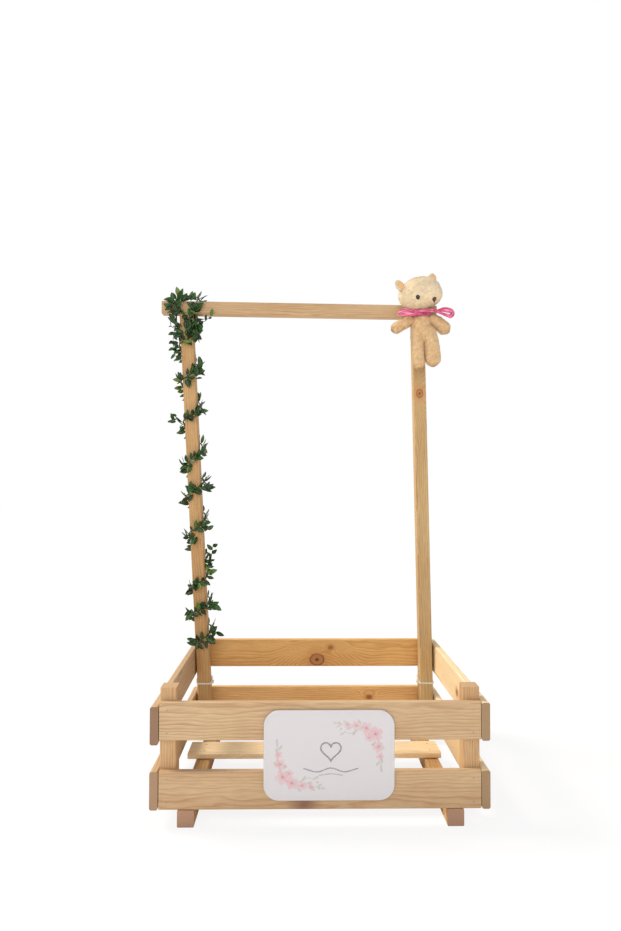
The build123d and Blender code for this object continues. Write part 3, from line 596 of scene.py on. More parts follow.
garlandLook = {
    "stemRadius": 0.0010, "shootRadius": 0.0006, "gap": 0.00224,  # from the stem's centre line to each face
    "start": 0.156, "rise": 0.016,  # height of the lowest crossing, and what the stem climbs on the front
    "pitches": (0.047, 0.043, 0.088, 0.061, 0.050, 0.070, 0.066, 0.059),
    "rightShare": 0.3, "leftShare": 0.68,  # how far each turn has climbed where it leaves the leg's back
    "lastClimb": 0.022, "lastShare": 0.6,
    "corner": 0.0045, "step": 0.0015, "stray": 0.0003, "strayWave": 0.03,
    "leafEvery": 0.0034, "leafLength": (0.011, 0.018), "leafWidth": 0.44,
    "splay": (30, 80), "lift": (6, 42), "roll": 0.35, "young": 0.1,
    "curl": (-0.12, 0.22), "fold": (0.1, 0.45), "thick": 0.0003, "small": (0.15, 0.7), "grid": (6, 5),
}
legLow, legHigh = np.array(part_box("left_arch_leg"))
railLow, railHigh = np.array(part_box("top_rail"))
legSide = legHigh[1] - legLow[1]
legMidY = (legLow[1] + legHigh[1]) / 2
legTopZ = legHigh[2]
legLean = (legHigh[0] - legLow[0] - legSide) / (legHigh[2] - legLow[2])


def legMiddle(z):
    # x of the left leg's centre line at a height
    return legHigh[0] - legSide / 2 - legLean * (z - legLow[2])


def garlandRoute(look):
    # corners of a square helix: front left, front right, back right and back left, then over the rail
    front, back = legLow[1] - look["gap"], legHigh[1] + look["gap"]
    half = legSide / 2 + look["gap"]
    route = []
    z = look["start"]
    for pitch in (*look["pitches"], None):
        low, high = z - look["rise"] / 2, z + look["rise"] / 2
        climb = pitch - look["rise"] if pitch else look["lastClimb"]
        route += [
            (legMiddle(low) - half, front, low), (legMiddle(high) + half, front, high),
            (legMiddle(high) + half, back, high + climb * look["rightShare"]),
            (legMiddle(high) - half, back, high + climb * look["leftShare" if pitch else "lastShare"]),
        ]
        z += pitch or 0
    left, right = legMiddle(legTopZ) - half, legMiddle(legTopZ) + half
    over, under = railHigh[2] + look["gap"], legTopZ - look["gap"]
    route += [
        (left - 0.001, front, z + 0.026), (left - 0.003, front, over), (left - 0.001, back, over),
        (right + 0.001, back, under), (right + 0.002, front, under), (right + 0.007, front, over),
        (right + 0.010, back, over), (right + 0.012, back, over - 0.012),
    ]
    return np.array(route)


def roundedPath(route, cut, step):
    # straight runs joined at each corner by a parabola that starts and ends a cut's length from the corner
    pieces = [route[:1]]
    for before, corner, after in zip(route[:-2], route[1:-1], route[2:]):
        start, end = corner - unit(corner - before) * cut, corner + unit(after - corner) * cut
        t = np.linspace(0, 1, 6)[:, None]
        pieces.append((1 - t) ** 2 * start + 2 * t * (1 - t) * corner + t**2 * end)
    pieces.append(route[-1:])
    rough = np.concatenate(pieces)
    length = np.concatenate([[0], np.cumsum(np.linalg.norm(np.diff(rough, axis=0), axis=1))])
    s = np.arange(0, length[-1], step)
    return np.stack([np.interp(s, length, rough[:, k]) for k in range(3)], -1)


def outwardFrom(points):
    # away from the leg's middle line, or from the rail's near the top, with nothing along the wood
    sideways, back = points[:, 0] - legMiddle(points[:, 2]), points[:, 1] - legMidY
    out = np.stack([sideways, back, np.zeros(len(points))], -1)
    high = points[:, 2] > legTopZ - 0.004
    rise = points[:, 2] - (railLow[2] + railHigh[2]) / 2
    out[high] = np.stack([np.zeros(len(points)), back, rise], -1)[high]
    return unit(out)


# dried woody stem: brown bark with green where it is young, rough and dull
barkFinish = plainMaterial("young woody stem", "#33281a", "#46502a", 0.75, 6, 0.6)

# waxy evergreen leaf: deep green upper side, yellower young ones, a pale midrib, soft highlights
leafFinish, tree, coords = startMaterial("waxy evergreen leaf")
tone = addNode(tree, "ShaderNodeAttribute", attribute_name="leafTone", out=2)
shape = addNode(tree, "ShaderNodeAttribute", attribute_name="leafPlace", out=1)
parts = addNode(tree, "ShaderNodeSeparateXYZ", {0: shape}, out=None)
green = addNode(tree, "ShaderNodeValToRGB", {"Fac": tone}, stops=[
    (0.0, linear("#10230d")), (0.35, linear("#1c3a16")), (0.62, linear("#2f5c22")),
    (0.85, linear("#55752a")), (1.0, linear("#7d8232"))])
vein = maths(tree, "ABSOLUTE", parts.outputs[1])
vein = remap(tree, vein, 0.04, 0.16, 0.45, 0.0)
green = blend(tree, vein, green, linear("#6d8f45"))
mottle = noiseAt(tree, coords, 1 / (2.5 * mm), 3.0)
shade = remap(tree, mottle, 0, 1, 0.7, 1.3)
green = vectorMaths(tree, "MULTIPLY", green, shade)
ribs = addNode(tree, "ShaderNodeTexWave", {
    "Vector": shape, "Scale": 2.2, "Distortion": 1.0}, out=1, bands_direction="DIAGONAL")
bump = bumpFrom(tree, ribs, 0.3, 0.0003)
principled(tree, {
    "Base Color": green, "Roughness": 0.4, "Normal": bump, "Specular IOR Level": 0.35})


def leafBlade(rows, columns):
    # a closed lens: the rim is shared by an upper and an under side that has inner points of its own
    u = np.linspace(0, 1, rows)
    v = np.linspace(-1, 1, columns)
    grid = np.stack(np.meshgrid(u, v, indexing="ij"), -1).reshape(-1, 2)
    inner = np.array([r * columns + c for r in range(1, rows - 1) for c in range(1, columns - 1)])
    top = gridFaces(rows, columns)
    under = np.arange(rows * columns)
    under[inner] = rows * columns + np.arange(len(inner))
    return grid, inner, np.concatenate([top, under[top][:, ::-1]])


def leafWays(along, out, side, look, draw):
    # a leaf's direction: splayed from the stem to its side, then lifted off the wood
    count = len(along)
    splay, lift = (np.radians(draw.uniform(*look[key], count))[:, None] for key in ("splay", "lift"))
    out = unit(out - along * np.sum(out * along, axis=1, keepdims=True))
    flat = along * np.cos(splay) + np.cross(out, along) * side[:, None] * np.sin(splay)
    return flat * np.cos(lift) + out * np.sin(lift)


def growLeaves(name, anchors, tip, out, look, draw):
    # blades of width sin(pi u^0.85)^0.8, each with its own length, curl, fold and roll about its midrib
    grid, inner, faces = leafBlade(*look["grid"])
    count = len(anchors)
    length = draw.uniform(*look["leafLength"], count)
    length = length * np.where(draw.random(count) < look["small"][0], look["small"][1], 1.0)
    width = length * look["leafWidth"] * draw.uniform(0.85, 1.15, count)
    up = unit(out - tip * np.sum(out * tip, axis=1, keepdims=True))
    wide = np.cross(up, tip)
    roll = draw.uniform(-look["roll"], look["roll"], count)[:, None]
    wide, up = wide * np.cos(roll) + up * np.sin(roll), up * np.cos(roll) - wide * np.sin(roll)
    u, v = grid[:, 0][None], grid[:, 1][None]
    halfWidth = np.sin(np.pi * u**0.85) ** 0.8 * width[:, None] / 2
    curl = draw.uniform(*look["curl"], count)[:, None]
    fold = draw.uniform(*look["fold"], count)[:, None]
    rise = curl * length[:, None] * u**2 + fold * np.abs(v) * halfWidth
    local = np.stack([u * length[:, None] + 0 * v, v * halfWidth, rise], -1)
    lower = local[:, inner].copy()
    lower[..., 2] -= look["thick"]
    local = np.concatenate([local, lower], axis=1)
    points = np.einsum("nki,nij->nkj", local, np.stack([tip, wide, up], 1)) + anchors[:, None]
    perLeaf = local.shape[1]
    allFaces = (faces[None] + (np.arange(count) * perLeaf)[:, None, None]).reshape(-1, 4)
    made = meshObject(name, points.reshape(-1, 3), allFaces, leafFinish)
    isYoung = draw.random(count) < look["young"]
    tones = np.where(isYoung, draw.uniform(0.7, 1.0, count), draw.uniform(0, 0.62, count))
    toneLayer = made.data.attributes.new("leafTone", "FLOAT", "POINT")
    toneLayer.data.foreach_set("value", np.repeat(tones, perLeaf).astype(np.float32))
    flatPlace = np.concatenate([grid, grid[inner]])
    flatPlace = np.concatenate([flatPlace, np.zeros((perLeaf, 1))], 1)
    placeLayer = made.data.attributes.new("leafPlace", "FLOAT_VECTOR", "POINT")
    placeLayer.data.foreach_set("vector", np.tile(flatPlace, (count, 1)).astype(np.float32).ravel())
    return made


stemPath = roundedPath(garlandRoute(garlandLook), garlandLook["corner"], garlandLook["step"])
stemOut = outwardFrom(stemPath)
stray = garlandLook["stray"] * (1 + ripple(stemPath, garlandLook["strayWave"], 4))
stemPath = stemPath + stemOut * stray[:, None]
vertices, faces = tube(stemPath, garlandLook["stemRadius"] * (1 + 0.22 * ripple(stemPath, 0.009, 3)), 8)
vineStem = meshObject("vine_stem", vertices, faces, barkFinish)
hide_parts("garland_stem")

draw = np.random.default_rng(21)
stemLength = len(stemPath) * garlandLook["step"]
spots = np.arange(0.004, stemLength - 0.004, garlandLook["leafEvery"])
spots = spots + draw.uniform(-0.0012, 0.0012, len(spots))
index = np.clip((spots / garlandLook["step"]).astype(int), 1, len(stemPath) - 2)
along = unit(stemPath[index + 1] - stemPath[index - 1])
side = np.where(np.arange(len(index)) % 2 == 0, 1.0, -1.0)
anchors = stemPath[index] + stemOut[index] * garlandLook["stemRadius"]
ways = leafWays(along, stemOut[index], side, garlandLook, draw)

# tufts that gather where the stem folds over the rail and at its crossings: pixel across and down of their
# middle, number of leaves, the way that they point in degrees from the right, and the fan that they fill
tuftLook = {
    "tufts": [
        (179, 298, 3, 90, 30), (174, 303, 4, 150, 60), (183, 302, 4, 60, 60), (190, 303, 4, 25, 50),
        (173, 308, 3, 190, 40), (180, 309, 5, 250, 90), (188, 310, 5, 300, 90), (189, 317, 5, 260, 100),
        (196, 320, 6, 290, 90), (198, 327, 6, 265, 60), (197, 334, 4, 250, 40), (185, 331, 3, 110, 70),
        (191, 331, 3, 60, 50), (187, 336, 4, 0, 100), (180, 335, 2, 175, 40), (178, 344, 2, 160, 30),
        (180, 352, 2, 200, 40), (181, 358, 2, 235, 30), (181, 380, 3, 140, 40), (188, 378, 5, 340, 80),
        (196, 377, 5, 50, 60), (199, 370, 4, 85, 50), (176, 418, 4, 160, 60), (187, 418, 4, 330, 80),
        (198, 415, 4, 40, 60), (190, 466, 5, 200, 80), (199, 458, 4, 80, 60), (194, 492, 4, 200, 70),
        (206, 488, 4, 20, 60), (196, 538, 5, 190, 80), (206, 530, 4, 60, 60), (198, 584, 5, 200, 80),
        (210, 574, 4, 50, 60), (201, 606, 5, 60, 90), (212, 606, 4, 20, 50), (192, 612, 4, 230, 50),
        (196, 642, 6, 200, 80), (208, 640, 4, 330, 60), (214, 632, 5, 40, 70),
    ],
    "depth": (0.001, 0.007), "scatterPx": 1.6, "lift": (5, 40),
}


def tuftRows(look, draw):
    # anchors a little in front of the wood's front face, and directions fanned out in the upright plane
    tufts = np.array(look["tufts"])
    rows = np.repeat(tufts[:, [0, 1, 3, 4]], tufts[:, 2], axis=0)
    count = len(rows)
    depth = draw.uniform(*look["depth"], count)
    scatter = draw.normal(size=(count, 2)) * look["scatterPx"]
    places = np.array([
        atPixel(px, py, legLow[1] - back)
        for px, py, back in zip(rows[:, 0] + scatter[:, 0], rows[:, 1] + scatter[:, 1], depth)])
    angle = np.radians(rows[:, 2] + rows[:, 3] * draw.uniform(-1, 1, count))
    lift = np.radians(draw.uniform(*look["lift"], count))
    tip = np.stack([np.cos(angle) * np.cos(lift), -np.sin(lift), np.sin(angle) * np.cos(lift)], -1)
    out = unit(np.array([0, -1.0, 0]) + draw.normal(size=(count, 3)) * 0.25)
    return places, tip, out


tuftPlaces, tuftTips, tuftOut = tuftRows(tuftLook, draw)
vineLeaves = growLeaves(
    "vine_leaves", np.concatenate([anchors, tuftPlaces]), np.concatenate([ways, tuftTips]),
    np.concatenate([stemOut[index], tuftOut]), garlandLook, draw)
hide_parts("garland_leaves")
print("garland wound:", len(index), "leaves on", round(stemLength, 3), "m and", len(tuftPlaces), "in tufts")

# shoots: two follow their CAD solids, as x and z in mm from the foot, and two curl beside the leg, by pixels
shootLook = {
    "hanging": dict(node="hanging_sprig", leaves=11,
                    reach=[(0, 0), (-1, -12), (-3, -26), (-4, -42), (-2, -56), (1, -66)]),
    "standing": dict(node="side_sprig", leaves=8,
                     reach=[(0, 0), (2, 8), (5, 17), (7, 29), (8, 40)]),
    "tendril": dict(leaves=3, pixels=[
        (178, 315), (172.5, 317.5), (170.5, 322.5), (171.5, 326.5), (174.5, 328), (177.5, 326)]),
    "twig": dict(pixels=[(194, 325), (199, 321), (204.5, 321.5), (208, 318.5), (211.5, 316)], leaves=5),
}
shootMesh = []
shootFeet, shootAlong, shootSide = [], [], []
for look in shootLook.values():
    if "node" in look:
        low, high = np.array(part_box(look["node"]))
        risesUp = look["reach"][-1][1] > 0
        start = low if risesUp else high
        foot = np.array([start[0], (low[1] + high[1]) / 2, start[2]])
        points = [foot + np.array([px, 0, pz]) * mm for px, pz in look["reach"]]
    else:
        points = [atPixel(px, py, legLow[1] - 0.004) for px, py in look["pixels"]]
    path = smoothPath(points, 40)
    path[:, 1] += 0.0008 * np.sin(np.linspace(0, 7, 40))
    vertices, faces = tube(path, garlandLook["shootRadius"] * np.linspace(1.1, 0.6, 40), 6)
    shootMesh.append((vertices, faces + sum(len(done) for done, _ in shootMesh)))
    at = np.linspace(6, 38, look["leaves"]).astype(int)
    shootFeet.append(path[at])
    shootAlong.append(unit(path[at] - path[at - 1]))
    shootSide.append(np.where(np.arange(len(at)) % 2 == 0, 1.0, -1.0))
vineShoots = meshObject(
    "vine_shoots", np.concatenate([v for v, _ in shootMesh]), np.concatenate([f for _, f in shootMesh]),
    barkFinish)
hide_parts("hanging_sprig", "side_sprig")
shootFeet, shootAlong, shootSide = (np.concatenate(part) for part in (shootFeet, shootAlong, shootSide))
shootOut = np.tile(np.array([[0.0, -1.0, 0.0]]), (len(shootFeet), 1))
shootLeafLook = {**garlandLook, "leafLength": (0.009, 0.014), "leafWidth": 0.45}
shootLeaves = growLeaves(
    "shoot_leaves", shootFeet, leafWays(shootAlong, shootOut, shootSide, shootLeafLook, draw), shootOut,
    shootLeafLook, draw)
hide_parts("sprig_leaves")
print("shoots grown")


# Plush bear: stuffed forms in short cream pile

plushLook = {
    "pileMm": 1.5, "patchMm": 5,
    "lumpMm": 0.35, "lumpWave": 0.011, "napMm": 0.24, "napWave": 0.003,
    "backGap": 0.0008,  # the bear's back stops this far in front of the back of its CAD body
}
bearLow, bearHigh = np.array(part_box("bear_head"))
headMiddle = (bearLow + bearHigh) / 2 - np.array([0, 0, 0.0012])
bodyLow, bodyHigh = np.array(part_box("bear_body"))
skins = []


def plushMaterial(name, colour, shade):
    # knitted polyester pile: dull and soft, with painted shade between the tufts, mottled in soft patches,
    # and a pale glow at its rim
    material, tree, coords = startMaterial(name)
    tuft = noiseAt(tree, coords, 1 / (plushLook["pileMm"] * mm), 4.0, Roughness=0.7)
    patch = noiseAt(tree, coords, 1 / (plushLook["patchMm"] * mm))
    # painted shade: where the tufts sink, mottled by the patches, the pile takes the darker colour
    paintedGapShade = maths(tree, "MULTIPLY_ADD", patch, 0.5, tuft)
    paintedGapShade = remap(tree, paintedGapShade, 0.55, 0.95, 1.0, 0.0)
    pile = blend(tree, paintedGapShade, linear(colour), linear(shade))
    bump = bumpFrom(tree, tuft, 0.7, 0.001)
    principled(tree, {
        "Base Color": pile, "Roughness": 0.95, "Normal": bump, "Sheen Weight": 0.4, "Sheen Roughness": 0.5,
        "Sheen Tint": linear("#fff3da"), "Specular IOR Level": 0.2})
    return material


# the head's cream is partly its own colour and partly painted light: paler than the body's tan for the light
# on the head
headPlush = plushMaterial("short pile polyester plush, cream, paler with painted light", "#efdfc0", "#cfb78f")
bodyPlush = plushMaterial("short pile polyester plush, tan", "#e6c79a", "#c19a6c")


def outwardNormals(points, faces):
    # the mean of the normals of the faces round each point
    corners = points[faces]
    faceNormal = np.cross(corners[:, 1] - corners[:, 0], corners[:, 2] - corners[:, 0])
    normals = np.zeros_like(points)
    for k in range(3):
        np.add.at(normals, faces[:, k], faceNormal)
    normals = unit(normals)
    if np.sum(normals * (points - points.mean(axis=0))) < 0:
        return faces[:, ::-1], -normals
    return faces, normals


def closedForm(grid):
    # rows of points whose first and last rows are one point each: vertices, outward faces and normals
    points = np.concatenate([grid[0, :1], grid[1:-1].reshape(-1, 3), grid[-1, :1]])
    return (points, *outwardNormals(points, ringFaces(len(grid) - 2, grid.shape[1])))


def globe(rows, around):
    # directions from the middle of a ball to rows of points on it, from pole to pole
    polar, angle = np.linspace(0, np.pi, rows), np.linspace(0, 2 * np.pi, around, endpoint=False)
    p, q = np.meshgrid(polar, angle, indexing="ij")
    return np.stack([np.sin(p) * np.cos(q), np.sin(p) * np.sin(q), np.cos(p)], -1)


def plushObject(node, grid, seed, finish, *alsoFor):
    # lumps of stuffing and single tufts move each point out and in along its own normal
    points, faces, normals = closedForm(grid)
    lump = ripple(points, plushLook["lumpWave"], seed) * plushLook["lumpMm"] * mm
    nap = ripple(points, plushLook["napWave"], seed + 50) * plushLook["napMm"] * mm
    points = points + normals * (lump + nap)[:, None]
    made = meshObject(node + "_plush", points, faces, finish)
    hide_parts(node, *alsoFor)
    skins.append((points, normals, finish))


def turnedForm(axis, radii, across, flatness=1.0, around=56, count=44):
    # a bag round a bent axis: at s from an end of radius r its half width is sqrt(r^2 - (r - s)^2), to s = r
    axis = smoothPath(axis, 300)
    run = np.concatenate([[0], np.cumsum(np.linalg.norm(np.diff(axis, axis=0), axis=1))])
    s = (1 - np.cos(np.linspace(0, np.pi, count + 2))) / 2 * run[-1]
    place = np.stack([np.interp(s, run, axis[:, k]) for k in range(3)], -1)
    along = unit(np.gradient(place, axis=0))
    first = unit(np.cross(np.asarray(across, float), along))
    second = np.cross(along, first)
    width = np.interp(s / run[-1], np.linspace(0, 1, len(radii)), radii)
    endRadius = np.where(s < run[-1] / 2, radii[0], radii[-1])
    inCap = np.clip(1 - np.minimum(s, run[-1] - s) / endRadius, 0, 1)
    width = width * np.sqrt(np.clip(1 - inCap**2, 0, 1))
    angle = np.linspace(0, 2 * np.pi, around, endpoint=False)
    spoke = first[:, None] * np.cos(angle)[:, None] * flatness + second[:, None] * np.sin(angle)[:, None]
    return place[:, None] + spoke * width[:, None, None]


headLook = {
    "size": (0.0345, 0.0272, 0.0258), "roll": 15, "turn": 40,
    "muzzle": (0.50, -0.70, -0.40), "muzzleOut": 0.0098, "muzzleWide": 0.47,
    "cheekOut": 0.0022, "cheekWide": 0.5, "socketIn": 0.0012, "socketWide": 0.2, "grid": (112, 150),
}
roll, turn = np.radians(headLook["roll"]), np.radians(headLook["turn"])
headTurn = np.array([[np.cos(roll), 0, np.sin(roll)], [0, 1, 0], [-np.sin(roll), 0, np.cos(roll)]])
faceWay = np.array([np.sin(turn), -np.cos(turn), 0])
sideWay = np.array([np.cos(turn), np.sin(turn), 0])


def headForm(look):
    # an ellipsoid whose reach in each direction grows by smooth bells for the muzzle and the cheeks
    direction = globe(*look["grid"])
    reach = 1 / np.sqrt(np.sum((direction / np.array(look["size"])) ** 2, axis=-1))

    def bell(toward, width):
        # 1 in the direction asked for, falling to 0 at about twice the width in radians
        away = np.arccos(np.clip(direction @ unit(toward), -1, 1))
        return np.exp(-((away / width) ** 3))

    reach = reach + look["muzzleOut"] * bell(look["muzzle"], look["muzzleWide"])
    for sign in (-1, 1):
        cheek = faceWay * 0.5 + sideWay * sign * 0.8 + (0, 0, -0.55)
        socket = faceWay * 0.85 + sideWay * sign * 0.6 + (0, 0, -0.05)
        reach = reach + look["cheekOut"] * bell(cheek, look["cheekWide"])
        reach = reach - look["socketIn"] * bell(socket, look["socketWide"])
    return (direction * reach[..., None]) @ headTurn + headMiddle


plushObject("bear_head", headForm(headLook), 31, headPlush, "bear_muzzle")
headPoints, headNormals, _ = skins[0]
print("bear's head shaped")


def onSkin(px, py):
    # of the head's points that face the camera, the one that lands nearest to the pixel
    distance = np.linalg.norm(pixelOf(headPoints) - (px, py), axis=1)
    hidden = np.sum(headNormals * (headPoints - camPlace), axis=1) > 0
    distance[hidden] = 1e9
    nearest = distance.argmin()
    return headPoints[nearest], headNormals[nearest]


def skinToward(toward):
    # the head's point that lies most nearly in a direction given in its own axes
    nearest = (unit(headPoints - headMiddle) @ unit(toward @ headTurn)).argmax()
    return headPoints[nearest], headNormals[nearest]


earLook = {
    "bear_left_ear": dict(toward=(-0.86, -0.27, 0.44), wide=0.0080, tall=0.0104, seed=41),
    "bear_right_ear": dict(toward=(0.82, 0.28, 0.50), wide=0.0092, tall=0.0108, seed=42),
}
earShape = {
    "thick": 0.0034, "cup": 0.0018, "cupWide": 0.62, "rise": 0.4, "lean": 0.5,
    "liningOut": 0.0022, "liningSize": 0.68, "grid": (32, 48),
}
# brushed peach plush inside the ear
innerFinish = plainMaterial("brushed peach plush", "#f4c788", "#e5a568", 0.95, 1.5, 0.5, Sheen_Weight=0.3)


def earForm(foot, outward, look, grow=1.0):
    # a flat oval bag that faces the way the face looks, its middle pressed in by a bell to make a cup
    up = unit(outward + np.array([0, 0, earShape["lean"]]))
    front = unit(faceWay - up * (faceWay @ up))
    wide = np.cross(up, front)
    a, b, c = np.moveaxis(globe(*earShape["grid"]), -1, 0)
    cup = np.exp(-((np.hypot(a, b) * grow / earShape["cupWide"]) ** 4)) * earShape["cup"]
    depth = c * earShape["thick"] * grow - cup * (c > 0)
    middle = foot + up * look["tall"] * earShape["rise"]
    flat = wide * (a * look["wide"] * grow)[..., None] + up * (b * look["tall"] * grow)[..., None]
    return middle + flat + front * depth[..., None]


for earName, look in earLook.items():
    foot, outward = skinToward(np.array(look["toward"]))
    plushObject(earName, earForm(foot, outward, look), look["seed"], headPlush)
    foot = foot + faceWay * earShape["liningOut"]
    points, faces, _ = closedForm(earForm(foot, outward, look, earShape["liningSize"]))
    meshObject(earName + "_lining", points, faces, innerFinish)

limbLook = {
    # centre line from end to end, in mm from the middle of the body's foot, and half widths along it
    "bear_body": dict(
        seed=51, across=(1, 0, 0), flatness=0.92,
        axis=[(0, 0, 58), (0, 0, 44), (0, 0, 28), (0, 0, 14), (1, 0, -1)],
        radii=(12.5, 13.0, 14.4, 16.2, 17.0, 17.3, 17.2, 16.6, 15.5)),
    "bear_left_arm": dict(
        seed=52, across=(0, 0, 1),
        axis=[(-10, 0, 46), (-22, -1, 41), (-34, -2, 34.5), (-47.5, -2, 26)],
        radii=(7.0, 8.2, 8.8, 8.9, 8.8, 8.0)),
    "bear_right_arm": dict(
        seed=53, across=(0, 0, 1),
        axis=[(10, 0, 49), (22, 0, 43), (33, 0, 35), (44, 0, 24.5)],
        radii=(7.5, 9.2, 10.2, 10.6, 10.6, 9.8)),
    "bear_left_leg": dict(
        seed=54, across=(1, 0, 0),
        axis=[(-7.5, -3, 34), (-7.2, -8, 12), (-6.8, -12, -10), (-6.0, -13, -37)],
        radii=(8.0, 9.4, 9.8, 9.6, 9.3, 9.4, 9.6, 9.2)),
    "bear_right_leg": dict(
        seed=55, across=(1, 0, 0),
        axis=[(9, -4, 34), (13, -9, 14), (15.5, -13, -8), (16.5, -15, -33)],
        radii=(9.0, 10.8, 11.8, 12.0, 12.0, 12.2, 12.2, 11.4)),
}
bodyFoot = np.array([(bodyLow[0] + bodyHigh[0]) / 2, bodyHigh[1] - 0.0155, bodyLow[2]])
backWall = bodyHigh[1] - plushLook["backGap"]
for node, look in limbLook.items():
    axis = bodyFoot + np.array(look["axis"]) * mm
    grid = turnedForm(axis, np.array(look["radii"]) * mm, look["across"], look.get("flatness", 1.0))
    grid[..., 1] = np.minimum(grid[..., 1], backWall)
    plushObject(node, grid, look["seed"], bodyPlush)
print("bear's body and limbs shaped")

# polished black bead for the eyes, sewn in; the near one shows a clear highlight
eyeFinish = plainMaterial("polished black bead", "#060403", "#0c0806", 0.18, 2, 0.0, Coat_Weight=0.2)
# satin stitch in brown thread for the nose and mouth: fine parallel threads with a soft shine
noseFinish = plainMaterial("brown satin stitch", "#3f2013", "#5a2f1b", 0.5, 0.7, 0.6, Sheen_Weight=0.2)
detailLook = {
    # pixels across and down where the photograph shows them
    "eyePixel": (418.2, 296.9), "nosePixel": (434.2, 299.6),
    "mouthPixels": [(434.6, 301.5), (434.0, 304.5), (431.6, 307.0), (428.6, 308.0)],
    "eyeSize": (0.0032, 0.0018, 0.0037), "noseSize": (0.0032, 0.0020, 0.0046), "stitch": 0.00035,
    "noseTaper": 0.4, "grid": (26, 32),
}


def bead(place, outward, size, taper=0.0):
    # an ellipsoid laid flat on the skin, wider at its top than at its foot by the taper
    lean = np.array([-0.2, 0, 1.0])
    up = unit(lean - outward * (lean @ outward))
    wide = np.cross(up, outward)
    a, b, c = np.moveaxis(globe(*detailLook["grid"]), -1, 0)
    a = a * (1 + taper * b) * size[0]
    flat = wide * a[..., None] + up * (b * size[2])[..., None]
    return closedForm(place + flat + outward * (c * size[1])[..., None])[:2]


nearEye, nearOut = onSkin(*detailLook["eyePixel"])
mirror = sideWay @ headTurn
farSide = (nearEye - headMiddle) - 2 * ((nearEye - headMiddle) @ mirror) * mirror
farIndex = np.linalg.norm(headPoints - headMiddle - farSide, axis=1).argmin()
eyes = [bead(place - out * 0.0003, out, detailLook["eyeSize"])
        for place, out in ((nearEye, nearOut), (headPoints[farIndex], headNormals[farIndex]))]
bearEyes = meshObject(
    "bear_eye_beads", np.concatenate([points for points, _ in eyes]),
    np.concatenate([eyes[0][1], eyes[1][1] + len(eyes[0][0])]), eyeFinish)
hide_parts("bear_eyes")
place, outward = onSkin(*detailLook["nosePixel"])
points, faces = bead(place, outward, detailLook["noseSize"], detailLook["noseTaper"])
bearNose = meshObject("bear_nose_stitch", points, faces, noseFinish)
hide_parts("bear_nose")
mouth = [onSkin(*pixel) for pixel in detailLook["mouthPixels"]]
mouth = smoothPath([point + out * 0.0004 for point, out in mouth], 24)
points, faces = tube(mouth, np.full(len(mouth), detailLook["stitch"]), 8)
meshObject("bear_mouth_stitch", points, faces, noseFinish)


# Ribbon: one strip of pink satin tied round the neck, with a flat loop to each side

ribbonLook = {
    # after the satin's own pink come a painted shade pink and a painted highlight pink
    "colour": "#d24e7c", "paintedShadePink": "#a42a55", "paintedHighlightPink": "#f0a6bc", "thickness": 0.0004,
    "crease": 0.0005, "creases": 1.6, "sway": 0.35, "sways": 9,
    # the strip's upper and lower edge, point by point: x, y, z in mm from the middle of the neck
    "loops": {
        "ribbon_left": dict(nodes=("ribbon_left_loop",), upper=[
            (-2, -17.0, 4), (-12, -18.2, 4.4), (-20, -19.5, 5), (-30, -20.0, 6.6), (-38, -17.5, 2.6),
            (-36, -14.0, 5.6), (-29, -12.0, 8.8), (-19, -11.5, 8.8), (-9, -12.0, 6.5)], lower=[
            (-2, -18.0, -1.4), (-10, -19.0, -3.6), (-21, -20.2, -5.2), (-32, -20.0, -4.8),
            (-41, -17.5, -3.4), (-38, -14.5, 0), (-29, -12.5, 3), (-19, -12.0, 3.6), (-9, -12.5, 2.5)]),
        "ribbon_band": dict(nodes=("ribbon_knot",), upper=[
            (-14, -18.8, 6.2), (-7, -19.4, 6.0), (2, -19.2, 6.2), (10, -18.6, 6.8), (17, -17.6, 7.6),
            (22, -16.2, 8.8)], lower=[
            (-14, -19.8, -0.6), (-7, -20.2, 0.4), (2, -20.0, 1.4), (10, -19.2, 1.6), (17, -18.2, 2.4),
            (22, -17, 4.2)]),
        "ribbon_right": dict(nodes=("ribbon_right_loop",), upper=[
            (18, -16.0, 5.7), (24, -16.5, 6.8), (32, -16.0, 10), (40, -15.0, 10.4), (47, -14.5, 7.8),
            (50.5, -15.5, 1.9), (48.6, -18.0, -4.6), (43.5, -20.0, -8.4), (36, -20.5, -6.1),
            (28, -19.8, -2.6), (21, -18.5, 0.8)], lower=[
            (18, -17.0, 1.2), (24, -17.5, 2.4), (32, -17.0, 2.4), (38, -16.5, 1.6), (42.5, -16.0, 0.8),
            (43.5, -17.0, -0.2), (42, -18.4, -0.8), (39, -19.6, -1), (33, -20.2, 0.2), (26, -19.6, 2.6),
            (20, -18.6, 5.8)]),
    },
}
ribbonFinish, tree, coords = startMaterial("polyester satin ribbon")
shape = addNode(tree, "ShaderNodeUVMap", uv_map="ribbonUV")
threads = addNode(tree, "ShaderNodeMapping", {"Vector": shape, "Scale": (9.0, 60.0, 1.0)})
weave = noiseAt(tree, threads, 1.0)
gleam = addNode(tree, "ShaderNodeMapping", {"Vector": shape, "Scale": (5.0, 5.0, 1.0)})
wander = noiseAt(tree, gleam, 1.0, Distortion=0.6)
# painted light: the satin's pink runs in soft patches from painted shade to painted highlight
pinkWithPaintedLight = addNode(tree, "ShaderNodeValToRGB", {"Fac": wander}, stops=[
    (0.32, linear(ribbonLook["paintedShadePink"])), (0.5, linear(ribbonLook["colour"])),
    (0.68, linear(ribbonLook["paintedHighlightPink"]))])
bump = bumpFrom(tree, weave, 0.35, 0.0002)
principled(tree, {
    "Base Color": pinkWithPaintedLight, "Roughness": 0.34, "Normal": bump, "Anisotropic": 0.5, "Sheen Weight": 0.3,
    "Sheen Tint": linear("#ffd9e4")})
collarLow, collarHigh = np.array(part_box("ribbon_collar"))
neckMiddle = np.array([bodyFoot[0], bodyFoot[1], (collarLow[2] + collarHigh[2]) / 2])


